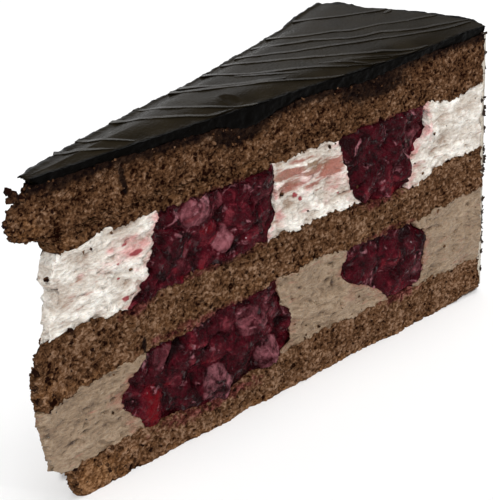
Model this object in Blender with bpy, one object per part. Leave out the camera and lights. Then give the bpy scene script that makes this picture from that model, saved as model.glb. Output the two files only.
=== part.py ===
"""A slice of a tall round chocolate and cherry cake.

The slice is a sixteenth of the cake. It stands on its flat underside with its point towards -X
and the cake's outer rim towards +X. From the bottom it has a chocolate sponge, a band of
chocolate cream with two rings of cherries, a second sponge, a band of white cream with two
rings of cherries, a third sponge and a poured chocolate glaze with thin ridges of drizzle. The
rim has a thin coat of cream with chocolate shavings pressed onto it.

A point in the cake is given by three values: its radius from the cake's centre, its side,
from -1 on the front cut to +1 on the back cut, and its height. Upright borders are given by
the share of the layer's height, from 0 at its bottom to 1 at its top.
"""

import math
import random

import bmesh
import bpy
from mathutils import Vector, noise

MM = 0.001

# The slice
HALF_ANGLE = math.radians(11.25)
CAKE_CENTRE_X = -64 * MM
TIP_HALF_WIDTH = 1.2 * MM
TIP_ROUNDING = 1.0 * MM
TIP_END = 6 * MM
GAP = 0.3 * MM
BORDER_GAP = 0.4 * MM

# Heights between the layers, as (radius, height) pairs in millimetres along the front cut
GLAZE_FOOT = ((-5, 70.4), (20, 70.1), (44, 69.5), (54, 67.6), (70, 69.8), (88, 69), (112, 70.6), (133, 71))
WHITE_TOP = ((-5, 56.2), (9, 55), (18, 56.5), (50, 56), (64, 57.2), (110, 58.5), (122, 57), (133, 59.5))
WHITE_FOOT = ((-5, 37.2), (3, 38.9), (20, 38.4), (42, 39.9), (76, 40.5), (102, 38.6), (120, 41.3), (133, 42))
CHOCOLATE_TOP = ((-5, 22.4), (10, 25.6), (30, 26.6), (50, 28.4), (70, 30.1), (106, 28.7), (133, 31))
CHOCOLATE_FOOT = ((-5, 8.2), (22, 8.6), (40, 7.3), (60, 10), (80, 11.4), (106, 10.7), (133, 10.4))
GLAZE_TOP = 73.1 * MM
GLAZE_ROLL = 1.7 * MM
GLAZE_ROLL_WIDTH = 3.5 * MM

# The layers' rim and the coat of cream round it
LAYER_RIM = 129.9 * MM
COAT_START = 130.2 * MM
COAT_END = 131.4 * MM
COAT_LIFT = 0.7 * MM
COAT_WAVES = (0.25 * MM, 9 * MM)
COAT_DECKS = 12

# Uprights of the tip and of the glaze's rim, as (share of the layer's height, radius) pairs
GLAZE_TIP = ((0, -2.6), (1, -0.4))
GLAZE_RIM = ((0, 131.8), (1, 132.8))
TOP_SPONGE_TIP = ((0, 3.6), (0.2, 1.6), (0.36, -3.6), (0.55, -4.8), (1, -3))
WHITE_TIP = ((0, -0.6), (0.45, 2.1), (0.7, 1), (1, 3.4))
MIDDLE_SPONGE_TIP = ((0, -4), (0.55, -4.5), (0.8, -3), (1, -0.5))
CHOCOLATE_TIP = ((0, -1.6), (0.14, -4), (1, -4.5))
BOTTOM_SPONGE_TIP = ((0, 2.6), (0.5, 1), (1, 0))

# Borders of the cherry rings, as the same pairs
WHITE_BORDERS = (
    ((0, 19.5), (0.12, 23), (0.3, 25), (0.65, 27.5), (1, 29.5)),
    ((0, 58), (0.43, 60.5), (1, 60)),
    ((0, 86.5), (0.15, 84), (0.42, 82.5), (1, 80.5)),
    ((0, 103), (0.3, 103), (0.62, 110.5), (1, 110)),
)
CHOCOLATE_BORDERS = (
    ((0, 20.5), (0.5, 15.5), (0.72, 17.5), (1, 22.5)),
    ((0, 60.5), (0.12, 63.5), (0.45, 64), (0.7, 61), (1, 60)),
    ((0, 95.5), (0.12, 93.5), (0.62, 80.5), (1, 82)),
    ((0, 105), (0.2, 108.5), (0.75, 109), (1, 105.5)),
)

# Unevenness, each as the height of the bumps and their length
LEVEL_DRIFT = (1.1 * MM, 30 * MM)
BORDER_DRIFT = (2.4 * MM, 20 * MM)
BORDER_HEIGHT = 18 * MM
SPONGE_CRAGS = (0.8 * MM, 7 * MM)
CREAM_DRAGS = (0.9 * MM, 9 * MM)
CHERRY_LUMPS = (2.6 * MM, 7 * MM)
GLAZE_WAVES = (0.7 * MM, 11 * MM)
SLICE_WIDTH = 24 * MM
THIN_TIP = 4
UNDERSIDE_LIFT = 1.2 * MM
LIFT_START = 112 * MM
LIFT_END = 130 * MM

# Drizzle ridges, as (radius where it starts on the back cut, heading in degrees, turn in
# degrees by its end, length in millimetres)
DRIZZLE = (
    (12, -55, 6, 11),
    (20, -64, 2, 12),
    (31, -46, 12, 25),
    (39, -58, 8, 25),
    (51, -50, 6, 37),
    (56, -46, 2, 16),
    (66, -62, 18, 32),
    (75, -54, 14, 33),
    (82, -54, 24, 36),
    (91, -50, 4, 38),
    (98, -48, 26, 42),
    (115, -43, 8, 24),
)
INNER_DRIZZLE = (
    (100.3, -4.5, -34, 14, 31),
    (108.5, -5.3, -30, 6, 26),
)
RIDGE_RADIUS = 0.8 * MM
RIDGE_RISE = 0.15 * MM
RIDGE_STEP = 4 * MM
RIDGE_SIDES = 6
RIDGE_END = 0.6
RIDGE_BEADS = 0.15
RIDGE_MARGIN = 0.8 * MM

# Chocolate shavings on the coat, in a jittered grid
SHAVING_SEED = 5
SHAVING_ROWS = 11
SHAVINGS_A_ROW = 7
SHAVING_LENGTH = (4 * MM, 8.5 * MM)
SHAVING_WIDTH = (1.4 * MM, 2.8 * MM)
SHAVING_THICKNESS = 1.1 * MM
SHAVING_TILT = 0.1
SHAVING_TAPER = 0.3
SHAVING_STAND = 0.15 * MM
SHAVING_MARGIN = 4.6 * MM
SHAVING_JITTER = 1.4 * MM

# Grid of the solids: columns along the slice, rows across it and decks upwards
ROWS = 4
DECKS = 6
SPONGE_COLUMNS = 34
SPONGE_DECKS = 5
GLAZE_COLUMNS = 30
GLAZE_SIDES = (-1, -0.88, -0.6, 0, 0.6, 0.88, 1)
END_CREAM_COLUMNS = 6
MIDDLE_CREAM_COLUMNS = 5
CHERRY_COLUMNS = 12


def clear_scene():
    """Removes what the scene holds at the start."""
    for thing in list(bpy.data.objects):
        bpy.data.objects.remove(thing)


def surface(name, color, roughness):
    """A plain material in one colour."""
    material = bpy.data.materials.new(name)
    material.use_nodes = True
    shader = material.node_tree.nodes["Principled BSDF"]
    shader.inputs["Base Color"].default_value = (*color, 1)
    shader.inputs["Roughness"].default_value = roughness
    material.diffuse_color = (*color, 1)
    return material


def eased(knots, place):
    """The value at a place among knots, easing from each knot to the next."""
    for (start, low), (end, high) in zip(knots, knots[1:]):
        if place <= end:
            share = max(0, (place - start) / (end - start))
            return low + (high - low) * share * share * (3 - 2 * share)
    return knots[-1][1]


def ramp(start, end, place):
    """0 before start, 1 after end, and a smooth step between them."""
    return eased(((start, 0), (end, 1)), min(max(place, start), end))


def uneven(radius, side, height, bumps, name):
    """Smooth noise with bumps of a height and a length, always the same under one name."""
    depth, length = bumps
    seed = sum(map(ord, name))
    place = Vector((radius, side * SLICE_WIDTH, height)) / length
    return depth * noise.noise(place + Vector((seed, 2 * seed, 0.5)))


def level(name, knots):
    """A function of radius and side that gives the height of the border between two layers."""

    def height(radius, side):
        drift = uneven(radius, side, 0, LEVEL_DRIFT, name)
        return eased(knots, radius / MM) * MM + drift * (1 + side) / 2

    return height


def upright(name, knots):
    """A function of side and share of height that gives the radius of an upright border."""

    def radius(side, share):
        drift = uneven(0, side, share * BORDER_HEIGHT, BORDER_DRIFT, name)
        return eased(knots, share) * MM + drift * (1 + side) / 2

    return radius


def half_width(radius):
    """Half the slice's width at a radius. It stays blunt round the tip."""
    straight = radius * math.sin(HALF_ANGLE)
    return (straight + math.hypot(straight, 2 * TIP_HALF_WIDTH)) / 2


def spot(radius, side, height):
    """The point at a radius, side and height."""
    turn = side * HALF_ANGLE
    bow = TIP_ROUNDING * side * side * (1 - ramp(0, TIP_END, radius))
    x = radius * (math.cos(turn) if radius > 0 else 1) + bow
    y = half_width(radius) * math.sin(turn) / math.sin(HALF_ANGLE)
    return Vector((CAKE_CENTRE_X + x, y, height))


def roughened(place, radius, side, bumps, name):
    """A point of a cut face moved in or out by bumps, which are lower where the tip is thin."""
    if abs(side) == 1:
        room = min(1, half_width(radius) / (THIN_TIP * bumps[0]))
        place.y += side * room * uneven(radius, side, place.z, bumps, name)
    return place


def shell(name, material, sides, columns, decks, point):
    """One closed solid: the outside of a grid, whose points point(along, side, up) gives."""
    rows = len(sides) - 1
    mesh = bmesh.new()
    grid = {}
    for i in range(columns + 1):
        for j in range(rows + 1):
            for k in range(decks + 1):
                if i in (0, columns) or j in (0, rows) or k in (0, decks):
                    grid[i, j, k] = mesh.verts.new(point(i / columns, sides[j], k / decks))

    def cover(corner, across, up):
        """A square of the grid, from its corner and the two ways that it reaches."""
        steps = ((0, 0), (1, 0), (1, 1), (0, 1))
        ring = [tuple(c + a * m + u * n for c, a, u in zip(corner, across, up)) for m, n in steps]
        mesh.faces.new([grid[place] for place in ring])

    for j in range(rows):
        for k in range(decks):
            cover((0, j, k), (0, 0, 1), (0, 1, 0))
            cover((columns, j, k), (0, 1, 0), (0, 0, 1))
    for i in range(columns):
        for k in range(decks):
            cover((i, 0, k), (1, 0, 0), (0, 0, 1))
            cover((i, rows, k), (0, 0, 1), (1, 0, 0))
        for j in range(rows):
            cover((i, j, 0), (0, 1, 0), (1, 0, 0))
            cover((i, j, decks), (1, 0, 0), (0, 1, 0))
    return placed(name, mesh, material)


def placed(name, mesh, material):
    """An object with this mesh and material, linked to the scene."""
    data = bpy.data.meshes.new(name)
    mesh.to_mesh(data)
    mesh.free()
    data.materials.append(material)
    thing = bpy.data.objects.new(name, data)
    bpy.context.scene.collection.objects.link(thing)
    return thing


def layer(name, material, edges, levels, bumps, columns, decks=DECKS):
    """A piece of a layer, between two upright borders and two levels, with rough cut faces."""
    start, end = edges
    foot, top = levels

    def point(along, side, up):
        first = start(side, up)
        radius = first + (end(side, up) - first) * along
        low = foot(radius, side)
        height = low + (top(radius, side) - low) * up
        return roughened(spot(radius, side, height), radius, side, bumps, name)

    return shell(name, material, even_sides(), columns, decks, point)


def even_sides():
    """Sides from one cut to the other, in equal steps."""
    return [2 * j / ROWS - 1 for j in range(ROWS + 1)]


def shifted(border, by):
    """The same border or level, moved by a distance, which leaves the gap between two pieces."""
    return lambda first, second: border(first, second) + by


def layer_rim(side, share):
    """The rim of every layer, just inside the coat."""
    return LAYER_RIM


def make_band(band, materials, tip, borders, levels):
    """A band of cream with two rings of cherries, as three pieces of cream and two rings."""
    cream, cherries = materials
    tip = upright(f"{band} tip", tip)
    uprights = [upright(f"{band} border {i}", knots) for i, knots in enumerate(borders)]
    inner_start, inner_end, outer_start, outer_end = uprights
    left = -BORDER_GAP / 2
    right = BORDER_GAP / 2
    foot, top = levels
    levels = shifted(foot, GAP / 2), shifted(top, -GAP / 2)

    def piece(part, material, start, end, bumps, columns):
        layer(f"{part}_{band}", material, (start, end), levels, bumps, columns)

    piece("tip_cream", cream, tip, shifted(inner_start, left), CREAM_DRAGS, END_CREAM_COLUMNS)
    inner = shifted(inner_start, right), shifted(inner_end, left)
    piece("inner_cherries", cherries, *inner, CHERRY_LUMPS, CHERRY_COLUMNS)
    middle = shifted(inner_end, right), shifted(outer_start, left)
    piece("middle_cream", cream, *middle, CREAM_DRAGS, MIDDLE_CREAM_COLUMNS)
    outer = shifted(outer_start, right), shifted(outer_end, left)
    piece("outer_cherries", cherries, *outer, CHERRY_LUMPS, CHERRY_COLUMNS)
    piece("rim_cream", cream, shifted(outer_end, right), layer_rim, CREAM_DRAGS, END_CREAM_COLUMNS)


def make_sponge(name, material, tip, levels):
    """A layer of sponge that runs from the tip to the rim."""
    foot, top = levels
    levels = shifted(foot, GAP / 2), shifted(top, -GAP / 2)
    edges = upright(f"{name} tip", tip), layer_rim
    layer(name, material, edges, levels, SPONGE_CRAGS, SPONGE_COLUMNS, SPONGE_DECKS)


def underside(radius, side):
    """The slice's flat underside, which lifts a little at the front corner of the rim."""
    lift = UNDERSIDE_LIFT * ramp(LIFT_START, LIFT_END, radius) * ramp(0.3, 1, -side)
    return lift - GAP / 2


def glaze_top(radius, side):
    """Height of the glaze, which rolls down towards both cuts."""
    inwards = (1 - abs(side)) * half_width(radius)
    return GLAZE_TOP - GLAZE_ROLL * (1 - ramp(0, GLAZE_ROLL_WIDTH, inwards)) ** 2


def ridge_path(x, y, heading, turn, length):
    """Points of one drizzle ridge on top of the glaze, which stop short of the cuts and the rim."""
    count = max(3, round(length * MM / RIDGE_STEP))
    step = length * MM / count
    points = []
    for i in range(count + 1):
        radius = math.hypot(x, y)
        side = math.atan2(y, x) / HALF_ANGLE
        from_cut = (1 - abs(side)) * half_width(radius)
        from_rim = GLAZE_RIM[-1][1] * MM - radius
        if min(2 * from_cut, from_rim) < RIDGE_MARGIN:
            break
        points.append(Vector((CAKE_CENTRE_X + x, y, glaze_top(radius, side) + RIDGE_RISE)))
        bearing = math.radians(heading + turn * i / count)
        x += step * math.cos(bearing)
        y += step * math.sin(bearing)
    return points


def ridge_paths():
    """The paths of all the drizzle ridges."""
    paths = []
    for start, heading, turn, length in DRIZZLE:
        side = 1 - RIDGE_MARGIN / half_width(start * MM)
        x = start * MM * math.cos(side * HALF_ANGLE)
        y = start * MM * math.sin(side * HALF_ANGLE)
        paths.append(ridge_path(x, y, heading, turn, length))
    for x, y, heading, turn, length in INNER_DRIZZLE:
        paths.append(ridge_path(x * MM, y * MM, heading, turn, length))
    return paths


def make_ridge(points, material, number):
    """A closed tube along the points, thinner at both ends."""
    mesh = bmesh.new()
    rings = []
    for i, point in enumerate(points):
        ahead = points[min(i + 1, len(points) - 1)] - points[max(i - 1, 0)]
        across = Vector((-ahead.y, ahead.x, 0)).normalized()
        beads = 1 + RIDGE_BEADS * math.sin(2 * i + number)
        thick = RIDGE_RADIUS * (RIDGE_END if i in (0, len(points) - 1) else beads)
        ring = []
        for j in range(RIDGE_SIDES):
            turn = 2 * math.pi * (j + 0.5) / RIDGE_SIDES
            up = Vector((0, 0, thick * math.sin(turn)))
            ring.append(mesh.verts.new(point + across * thick * math.cos(turn) + up))
        rings.append(ring)
    for one, two in zip(rings, rings[1:]):
        for j in range(RIDGE_SIDES):
            k = (j + 1) % RIDGE_SIDES
            mesh.faces.new((one[j], one[k], two[k], two[j]))
    mesh.faces.new(rings[0][::-1])
    mesh.faces.new(rings[-1])
    bmesh.ops.recalc_face_normals(mesh, faces=mesh.faces)
    return placed(f"ridge_{number}", mesh, material)


def fuse(base, pieces):
    """Joins the pieces to the base with one Boolean union and removes them."""
    group = bpy.data.collections.new("pieces")
    bpy.context.scene.collection.children.link(group)
    for piece in pieces:
        bpy.context.scene.collection.objects.unlink(piece)
        group.objects.link(piece)
    union = base.modifiers.new("union", "BOOLEAN")
    union.operation = "UNION"
    union.operand_type = "COLLECTION"
    union.collection = group
    union.solver = "EXACT"
    graph = bpy.context.evaluated_depsgraph_get()
    fused = bpy.data.meshes.new_from_object(base.evaluated_get(graph))
    base.modifiers.clear()
    base.data = fused
    for piece in pieces:
        bpy.data.objects.remove(piece)
    bpy.data.collections.remove(group)


def make_glaze(material, foot):
    """The poured glaze with its rolled edges, its drips and its drizzle ridges."""
    tip = upright("glaze tip", GLAZE_TIP)
    rim = upright("glaze rim", GLAZE_RIM)

    def point(along, side, up):
        first = tip(side, up)
        last = rim(side, up) + uneven(0, side, 0, GLAZE_WAVES, "glaze rim waves")
        radius = first + (last - first) * along
        low = foot(radius, side) + GAP / 2
        height = low + (glaze_top(radius, side) - low) * up
        return roughened(spot(radius, side, height), radius, side, GLAZE_WAVES, "glaze")

    glaze = shell("glaze", material, GLAZE_SIDES, GLAZE_COLUMNS, 2, point)
    ridges = [make_ridge(points, material, i) for i, points in enumerate(ridge_paths())]
    fuse(glaze, ridges)


def make_shaving(turn, height, lean, size, material, number):
    """A thin chip of chocolate, flat against the coat, that narrows towards one end."""
    length, width = size
    out = Vector((math.cos(turn), math.sin(turn), 0))
    along = Vector((-math.sin(turn) * math.cos(lean), math.cos(turn) * math.cos(lean), math.sin(lean)))
    across = out.cross(along)
    along = along + out * SHAVING_TILT * math.sin(3 * number)
    middle = Vector((CAKE_CENTRE_X, 0, height)) + out * (COAT_END + SHAVING_STAND)
    mesh = bmesh.new()
    for i in (-1, 1):
        breadth = width * (1 - SHAVING_TAPER * (i + 1) / 2)
        for j in (-1, 1):
            for k in (-1, 1):
                offset = along * i * length + across * j * breadth + out * k * SHAVING_THICKNESS
                mesh.verts.new(middle + offset / 2)
    bmesh.ops.convex_hull(mesh, input=mesh.verts)
    bmesh.ops.recalc_face_normals(mesh, faces=mesh.faces)
    return placed(f"shaving_{number}", mesh, material)


def make_shavings(material):
    """Shavings spread over the coat, in rows that are each shifted by half a step."""
    draw = random.Random(SHAVING_SEED)
    reach = HALF_ANGLE - SHAVING_MARGIN / COAT_END
    low = COAT_LIFT + SHAVING_MARGIN
    high = GLAZE_FOOT[-1][1] * MM - SHAVING_MARGIN
    shavings = []
    for row in range(SHAVING_ROWS):
        for i in range(SHAVINGS_A_ROW - row % 2):
            share = (i + 0.5 * (row % 2)) / (SHAVINGS_A_ROW - 1)
            turn = reach * (2 * share - 1) + draw.uniform(-1, 1) * SHAVING_JITTER / COAT_END
            height = low + (high - low) * row / (SHAVING_ROWS - 1)
            height += draw.uniform(-1, 1) * SHAVING_JITTER / 2
            lean = draw.uniform(0, math.pi)
            size = draw.uniform(*SHAVING_LENGTH), draw.uniform(*SHAVING_WIDTH)
            shavings.append(make_shaving(turn, height, lean, size, material, len(shavings)))
    return shavings


def make_side_coat(cream, chocolate, top):
    """The thin coat of cream on the cake's rim, with its shavings."""

    def point(along, side, up):
        wave = uneven(0, side, up * GLAZE_TOP, COAT_WAVES, "side_coat")
        radius = COAT_START + (COAT_END + wave - COAT_START) * along
        low = underside(radius, side) + GAP / 2 + COAT_LIFT
        high = top(radius, side) - GAP / 2
        return spot(radius, side, low + (high - low) * up)

    coat = shell("side_coat", cream, even_sides(), 1, COAT_DECKS, point)
    fuse(coat, make_shavings(chocolate))


def main():
    clear_scene()
    sponge = surface("sponge", (0.105, 0.047, 0.022), 0.85)
    glaze = surface("glaze", (0.018, 0.013, 0.011), 0.28)
    white_cream = surface("white_cream", (0.60, 0.55, 0.46), 0.5)
    chocolate_cream = surface("chocolate_cream", (0.30, 0.21, 0.145), 0.55)
    cherries = surface("cherries", (0.075, 0.010, 0.016), 0.2)

    glaze_foot = level("glaze foot", GLAZE_FOOT)
    white_top = level("white top", WHITE_TOP)
    white_foot = level("white foot", WHITE_FOOT)
    chocolate_top = level("chocolate top", CHOCOLATE_TOP)
    chocolate_foot = level("chocolate foot", CHOCOLATE_FOOT)

    make_glaze(glaze, glaze_foot)
    make_sponge("top_sponge", sponge, TOP_SPONGE_TIP, (white_top, glaze_foot))
    band = WHITE_TIP, WHITE_BORDERS, (white_foot, white_top)
    make_band("white", (white_cream, cherries), *band)
    make_sponge("middle_sponge", sponge, MIDDLE_SPONGE_TIP, (chocolate_top, white_foot))
    band = CHOCOLATE_TIP, CHOCOLATE_BORDERS, (chocolate_foot, chocolate_top)
    make_band("chocolate", (chocolate_cream, cherries), *band)
    make_sponge("bottom_sponge", sponge, BOTTOM_SPONGE_TIP, (underside, chocolate_foot))
    make_side_coat(white_cream, glaze, glaze_foot)


main()
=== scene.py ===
"""A slice of a tall chocolate cherry cake, with its crumb, creams, cherries, glaze and shavings.

The slice stands on its flat underside with its point towards -X and the cake's outer rim
towards +X. Each skin below follows the same named sizes as the solid that it stands for, on a
fine grid, and a node tree then raises its crumb, knife marks or fruit.

A point in the cake is given by three values: its radius from the cake's centre, its side,
from -1 on the front cut to +1 on the back cut, and its height. Upright borders are given by
the share of the layer's height, from 0 at its bottom to 1 at its top.
"""

import math
import random

import bpy
import numpy as np
from mathutils import Matrix, Vector, noise


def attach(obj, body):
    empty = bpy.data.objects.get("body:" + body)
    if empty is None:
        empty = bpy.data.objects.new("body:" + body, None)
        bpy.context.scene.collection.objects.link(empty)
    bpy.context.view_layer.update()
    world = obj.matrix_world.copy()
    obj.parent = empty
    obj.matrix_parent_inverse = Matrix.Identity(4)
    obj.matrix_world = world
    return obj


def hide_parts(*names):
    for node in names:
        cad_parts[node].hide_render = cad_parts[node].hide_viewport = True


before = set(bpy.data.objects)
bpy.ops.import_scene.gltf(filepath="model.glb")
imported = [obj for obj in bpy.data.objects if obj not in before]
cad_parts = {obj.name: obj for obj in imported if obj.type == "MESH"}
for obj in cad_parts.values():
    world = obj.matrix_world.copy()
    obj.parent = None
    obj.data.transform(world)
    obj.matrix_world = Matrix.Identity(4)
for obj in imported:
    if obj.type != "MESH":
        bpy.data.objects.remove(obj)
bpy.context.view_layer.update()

bl_info = {
    "name": "Cherry cake slice",
    "version": (1, 0, 0),
    "blender": (4, 5, 0),
    "location": "3D View > Sidebar > Cake",
    "description": "Makes the layers, creams, cherries, glaze and shavings of a slice of cake",
    "category": "Add Mesh",
}

MM = 0.001

# The slice
HALF_ANGLE = math.radians(11.25)
CAKE_CENTRE_X = -64 * MM
TIP_HALF_WIDTH = 1.2 * MM
TIP_ROUNDING = 1.0 * MM
TIP_END = 6 * MM
OVERLAP = 0.06 * MM

# Heights between the layers, as (radius, height) pairs in millimetres along the front cut
GLAZE_FOOT = (
    (-5, 70.4), (20, 70.1), (44, 69.5), (54, 67.6), (70, 69.8), (88, 69), (112, 70.6), (133, 71),
)
WHITE_TOP = (
    (-5, 56.2), (9, 55), (18, 56.5), (50, 56), (64, 57.2), (110, 58.5), (122, 57), (133, 59.5),
)
WHITE_FOOT = (
    (-5, 37.2), (3, 38.9), (20, 38.4), (42, 39.9), (76, 40.5), (102, 38.6), (120, 41.3), (133, 42),
)
CHOCOLATE_TOP = ((-5, 23.8), (10, 25.6), (30, 26.6), (50, 28.4), (70, 30.1), (106, 28.7), (133, 31))
CHOCOLATE_FOOT = ((-5, 8.2), (22, 8.6), (40, 7.3), (60, 10), (80, 11.4), (106, 10.7), (133, 10.4))
GLAZE_TOP = 73.1 * MM
GLAZE_FALL = 1.35 * MM
GLAZE_FALL_WIDTH = 9 * MM
GLAZE_LIP = 0.35 * MM
GLAZE_LIP_WIDTH = 0.7 * MM

# How far the back cut bows out of the straight, as (radius, distance) pairs in millimetres
BACK_BOW = (
    (0, 0.3), (8, 1.4), (25, 1.5), (45, 0.7), (60, -0.5), (80, -0.8), (105, -0.6), (122, 0.2),
    (133, 0.3),
)

# The layers' rim and the coat of cream round it
LAYER_RIM = 130.25 * MM
COAT_START = 130.2 * MM
COAT_END = 131.4 * MM
COAT_LIFT = 0.7 * MM
COAT_WAVES = (0.25 * MM, 9 * MM)

# Uprights of the tip and of the glaze's rim, as (share of the layer's height, radius) pairs
GLAZE_TIP = ((0, 3), (1, 1.5))
GLAZE_RIM = ((0, 131.8), (1, 132.8))
SPONGE_TIPS = {
    "top": (
        (0, 5.4), (0.14, 4.9), (0.24, 2), (0.31, -3.2), (0.52, -4.9), (0.74, -4), (0.84, -1),
        (0.94, 0.8), (1, 1.8),
    ),
    "middle": ((0, -4), (0.55, -4.5), (0.8, -3), (1, -0.5)),
    "bottom": ((0, 2.6), (0.5, 1), (1, 0)),
}
CREAM_TIPS = {
    "white": ((0, -0.2), (0.22, 0.8), (0.38, 2.6), (0.52, 4), (0.64, 2.1), (0.8, 3.2), (1, 5.2)),
    "chocolate": ((0, -1.6), (0.14, -4), (1, -4.5)),
}

# Borders of the cherry rings, as the same pairs
BORDERS = {
    "white": (
        ((0, 19.5), (0.12, 23), (0.3, 25), (0.65, 27.5), (1, 29.5)),
        ((0, 58), (0.43, 60.5), (1, 60)),
        ((0, 86.5), (0.15, 84), (0.42, 82.5), (1, 80.5)),
        ((0, 103), (0.3, 103), (0.62, 110.5), (1, 110)),
    ),
    "chocolate": (
        ((0, 20.5), (0.5, 15.5), (0.72, 17.5), (1, 22.5)),
        ((0, 60.5), (0.12, 63.5), (0.45, 64), (0.7, 61), (1, 60)),
        ((0, 95.5), (0.12, 93.5), (0.62, 80.5), (1, 82)),
        ((0, 105), (0.2, 108.5), (0.75, 109), (1, 105.5)),
    ),
}

# Unevenness, each as the height of the bumps and their length
LEVEL_DRIFT = (1.1 * MM, 30 * MM)
BORDER_DRIFT = (2.4 * MM, 20 * MM)
BORDER_HEIGHT = 18 * MM
SPONGE_CRAGS = (0.8 * MM, 7 * MM)
CREAM_DRAGS = (0.9 * MM, 9 * MM)
CHERRY_LUMPS = (2.6 * MM, 7 * MM)
CHERRY_WARP = (2.2 * MM, 5 * MM)
GLAZE_WAVES = (0.7 * MM, 11 * MM)
GLAZE_RIM_WAVES = (0.8 * MM, 5 * MM)
GLAZE_RIM_SWAY = (
    (-1, -1.4), (-0.9, -0.3), (-0.75, 0.4), (-0.4, 0), (-0.1, 0.7), (0.35, -0.5), (0.75, 1.3),
    (1, -0.6),
)
FRAYS = ((0.9 * MM, 2.1 * MM), (0.6 * MM, 0.8 * MM))
SLICE_WIDTH = 24 * MM
THIN_TIP = 4
UNDERSIDE_LIFT = 1.2 * MM
LIFT_START = 112 * MM
LIFT_END = 130 * MM

# Drizzle ridges on the glaze, as points from the back of the slice to its front, (x from the
# cake's centre, y) in millimetres. The first group starts on the back cut.
DRIZZLE = (
    ((12.5, 3.4), (14.4, 1.6), (16, 0.4), (18.1, -1.1), (21.2, -3.2)),
    ((20.2, 5), (21, 2.6), (22.4, -0.2), (26.3, -3.9)),
    (
        (31.6, 7), (33.3, 3.4), (34.6, 1.3), (36.7, -0.9), (39, -2.9), (42.5, -5.5), (45, -7.3),
        (48.6, -8.3), (51.1, -8.8),
    ),
    (
        (40.4, 8.3), (40.7, 6.2), (41.9, 1.6), (44.4, -1.9), (48, -5.4), (51.3, -8.2), (53.8, -9.7),
        (56.5, -11),
    ),
    (
        (52.2, 9.6), (52.7, 6.6), (55, 3), (58, 0.3), (60, -1.5), (63, -4), (66.1, -5.9),
        (70.6, -9.5), (75.2, -12.5), (78.9, -14.7), (81.6, -16),
    ),
    ((55.1, 10.1), (56.3, 5.2), (58, 2.5), (60.5, -0.2), (63, -2.5), (67, -5), (70.7, -7.8)),
    (
        (65.2, 11.9), (65.7, 8.5), (66.5, 5), (68.5, 2), (70.5, -0.5), (73, -3), (76, -5),
        (79.1, -8), (81.8, -10.7), (84.8, -13.1), (88.2, -15), (91.7, -17), (94.6, -18.4),
    ),
    (
        (73.6, 13.3), (74.7, 8.1), (77.5, 5), (80.5, 2), (83, -0.5), (86, -3.7), (89, -6.8),
        (92, -10), (95.3, -13.2), (98.6, -15), (101.5, -17.2), (105.5, -19.3), (109.7, -20.6),
    ),
    (
        (79.8, 14.4), (80.7, 9.7), (82.5, 8), (85.5, 5.5), (88, 3), (91, 1.2), (95, -1.5),
        (98.5, -4), (102, -6.5), (106, -8.8), (109, -11.3), (113, -14), (117.1, -16.2),
        (121.3, -18.5), (126.4, -19.9), (129.6, -20.9),
    ),
    (
        (88, 16.1), (90.5, 10), (94, 7.5), (98, 4.8), (101, 1), (103.5, -2.3), (106.5, -4.3),
        (111, -6), (114, -9), (118, -13), (122, -15), (127.1, -17.5), (131, -19.4),
    ),
    (
        (96.9, 18), (97.2, 13.2), (99.5, 10), (103, 7.5), (107, 4.8), (110, 1.2), (114, -0.5),
        (118, -2.2), (121, -4.6), (125, -6.8), (129, -8.8), (131.6, -10.2),
    ),
    ((112.6, 21.2), (115.6, 16.1), (118.5, 13), (122, 10.3), (126, 8), (129.5, 5.8), (132, 5)),
)
SHORT_DRIZZLE = (
    ((83, -8), (87.4, -12.2), (90.1, -15.1), (92.8, -17.2)),
    ((88.2, -10.9), (92.6, -14), (98.3, -17.4), (101.8, -19.2), (105.9, -20.2)),
    ((66, 3), (69, -1), (72, -4.5), (75.1, -7.9)),
    ((86.1, -9.9), (90, -13.1), (95.2, -16.5), (98.7, -18.3)),
    ((127.5, 3), (130, 3.2), (132, 3.6)),
)
# The dent in the glaze, as (x from the cake's centre, y, half length, half width)
DENT = (53.5, -6.2, 1.5, 2.4)

# Its depth and the height of the lip round it, in millimetres
DENT_DEPTH = 0.45
DENT_LIP = 0.2

# Chocolate shavings on the coat, in a jittered grid
SHAVING_SEED = 5
SHAVING_ROWS = 11
SHAVINGS_A_ROW = 7
SHAVING_LENGTH = (4 * MM, 8.5 * MM)
SHAVING_WIDTH = (1.4 * MM, 2.8 * MM)
SHAVING_TILT = 0.1
SHAVING_STAND = 0.15 * MM
SHAVING_MARGIN = 4.6 * MM
SHAVING_JITTER = 1.4 * MM

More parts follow.
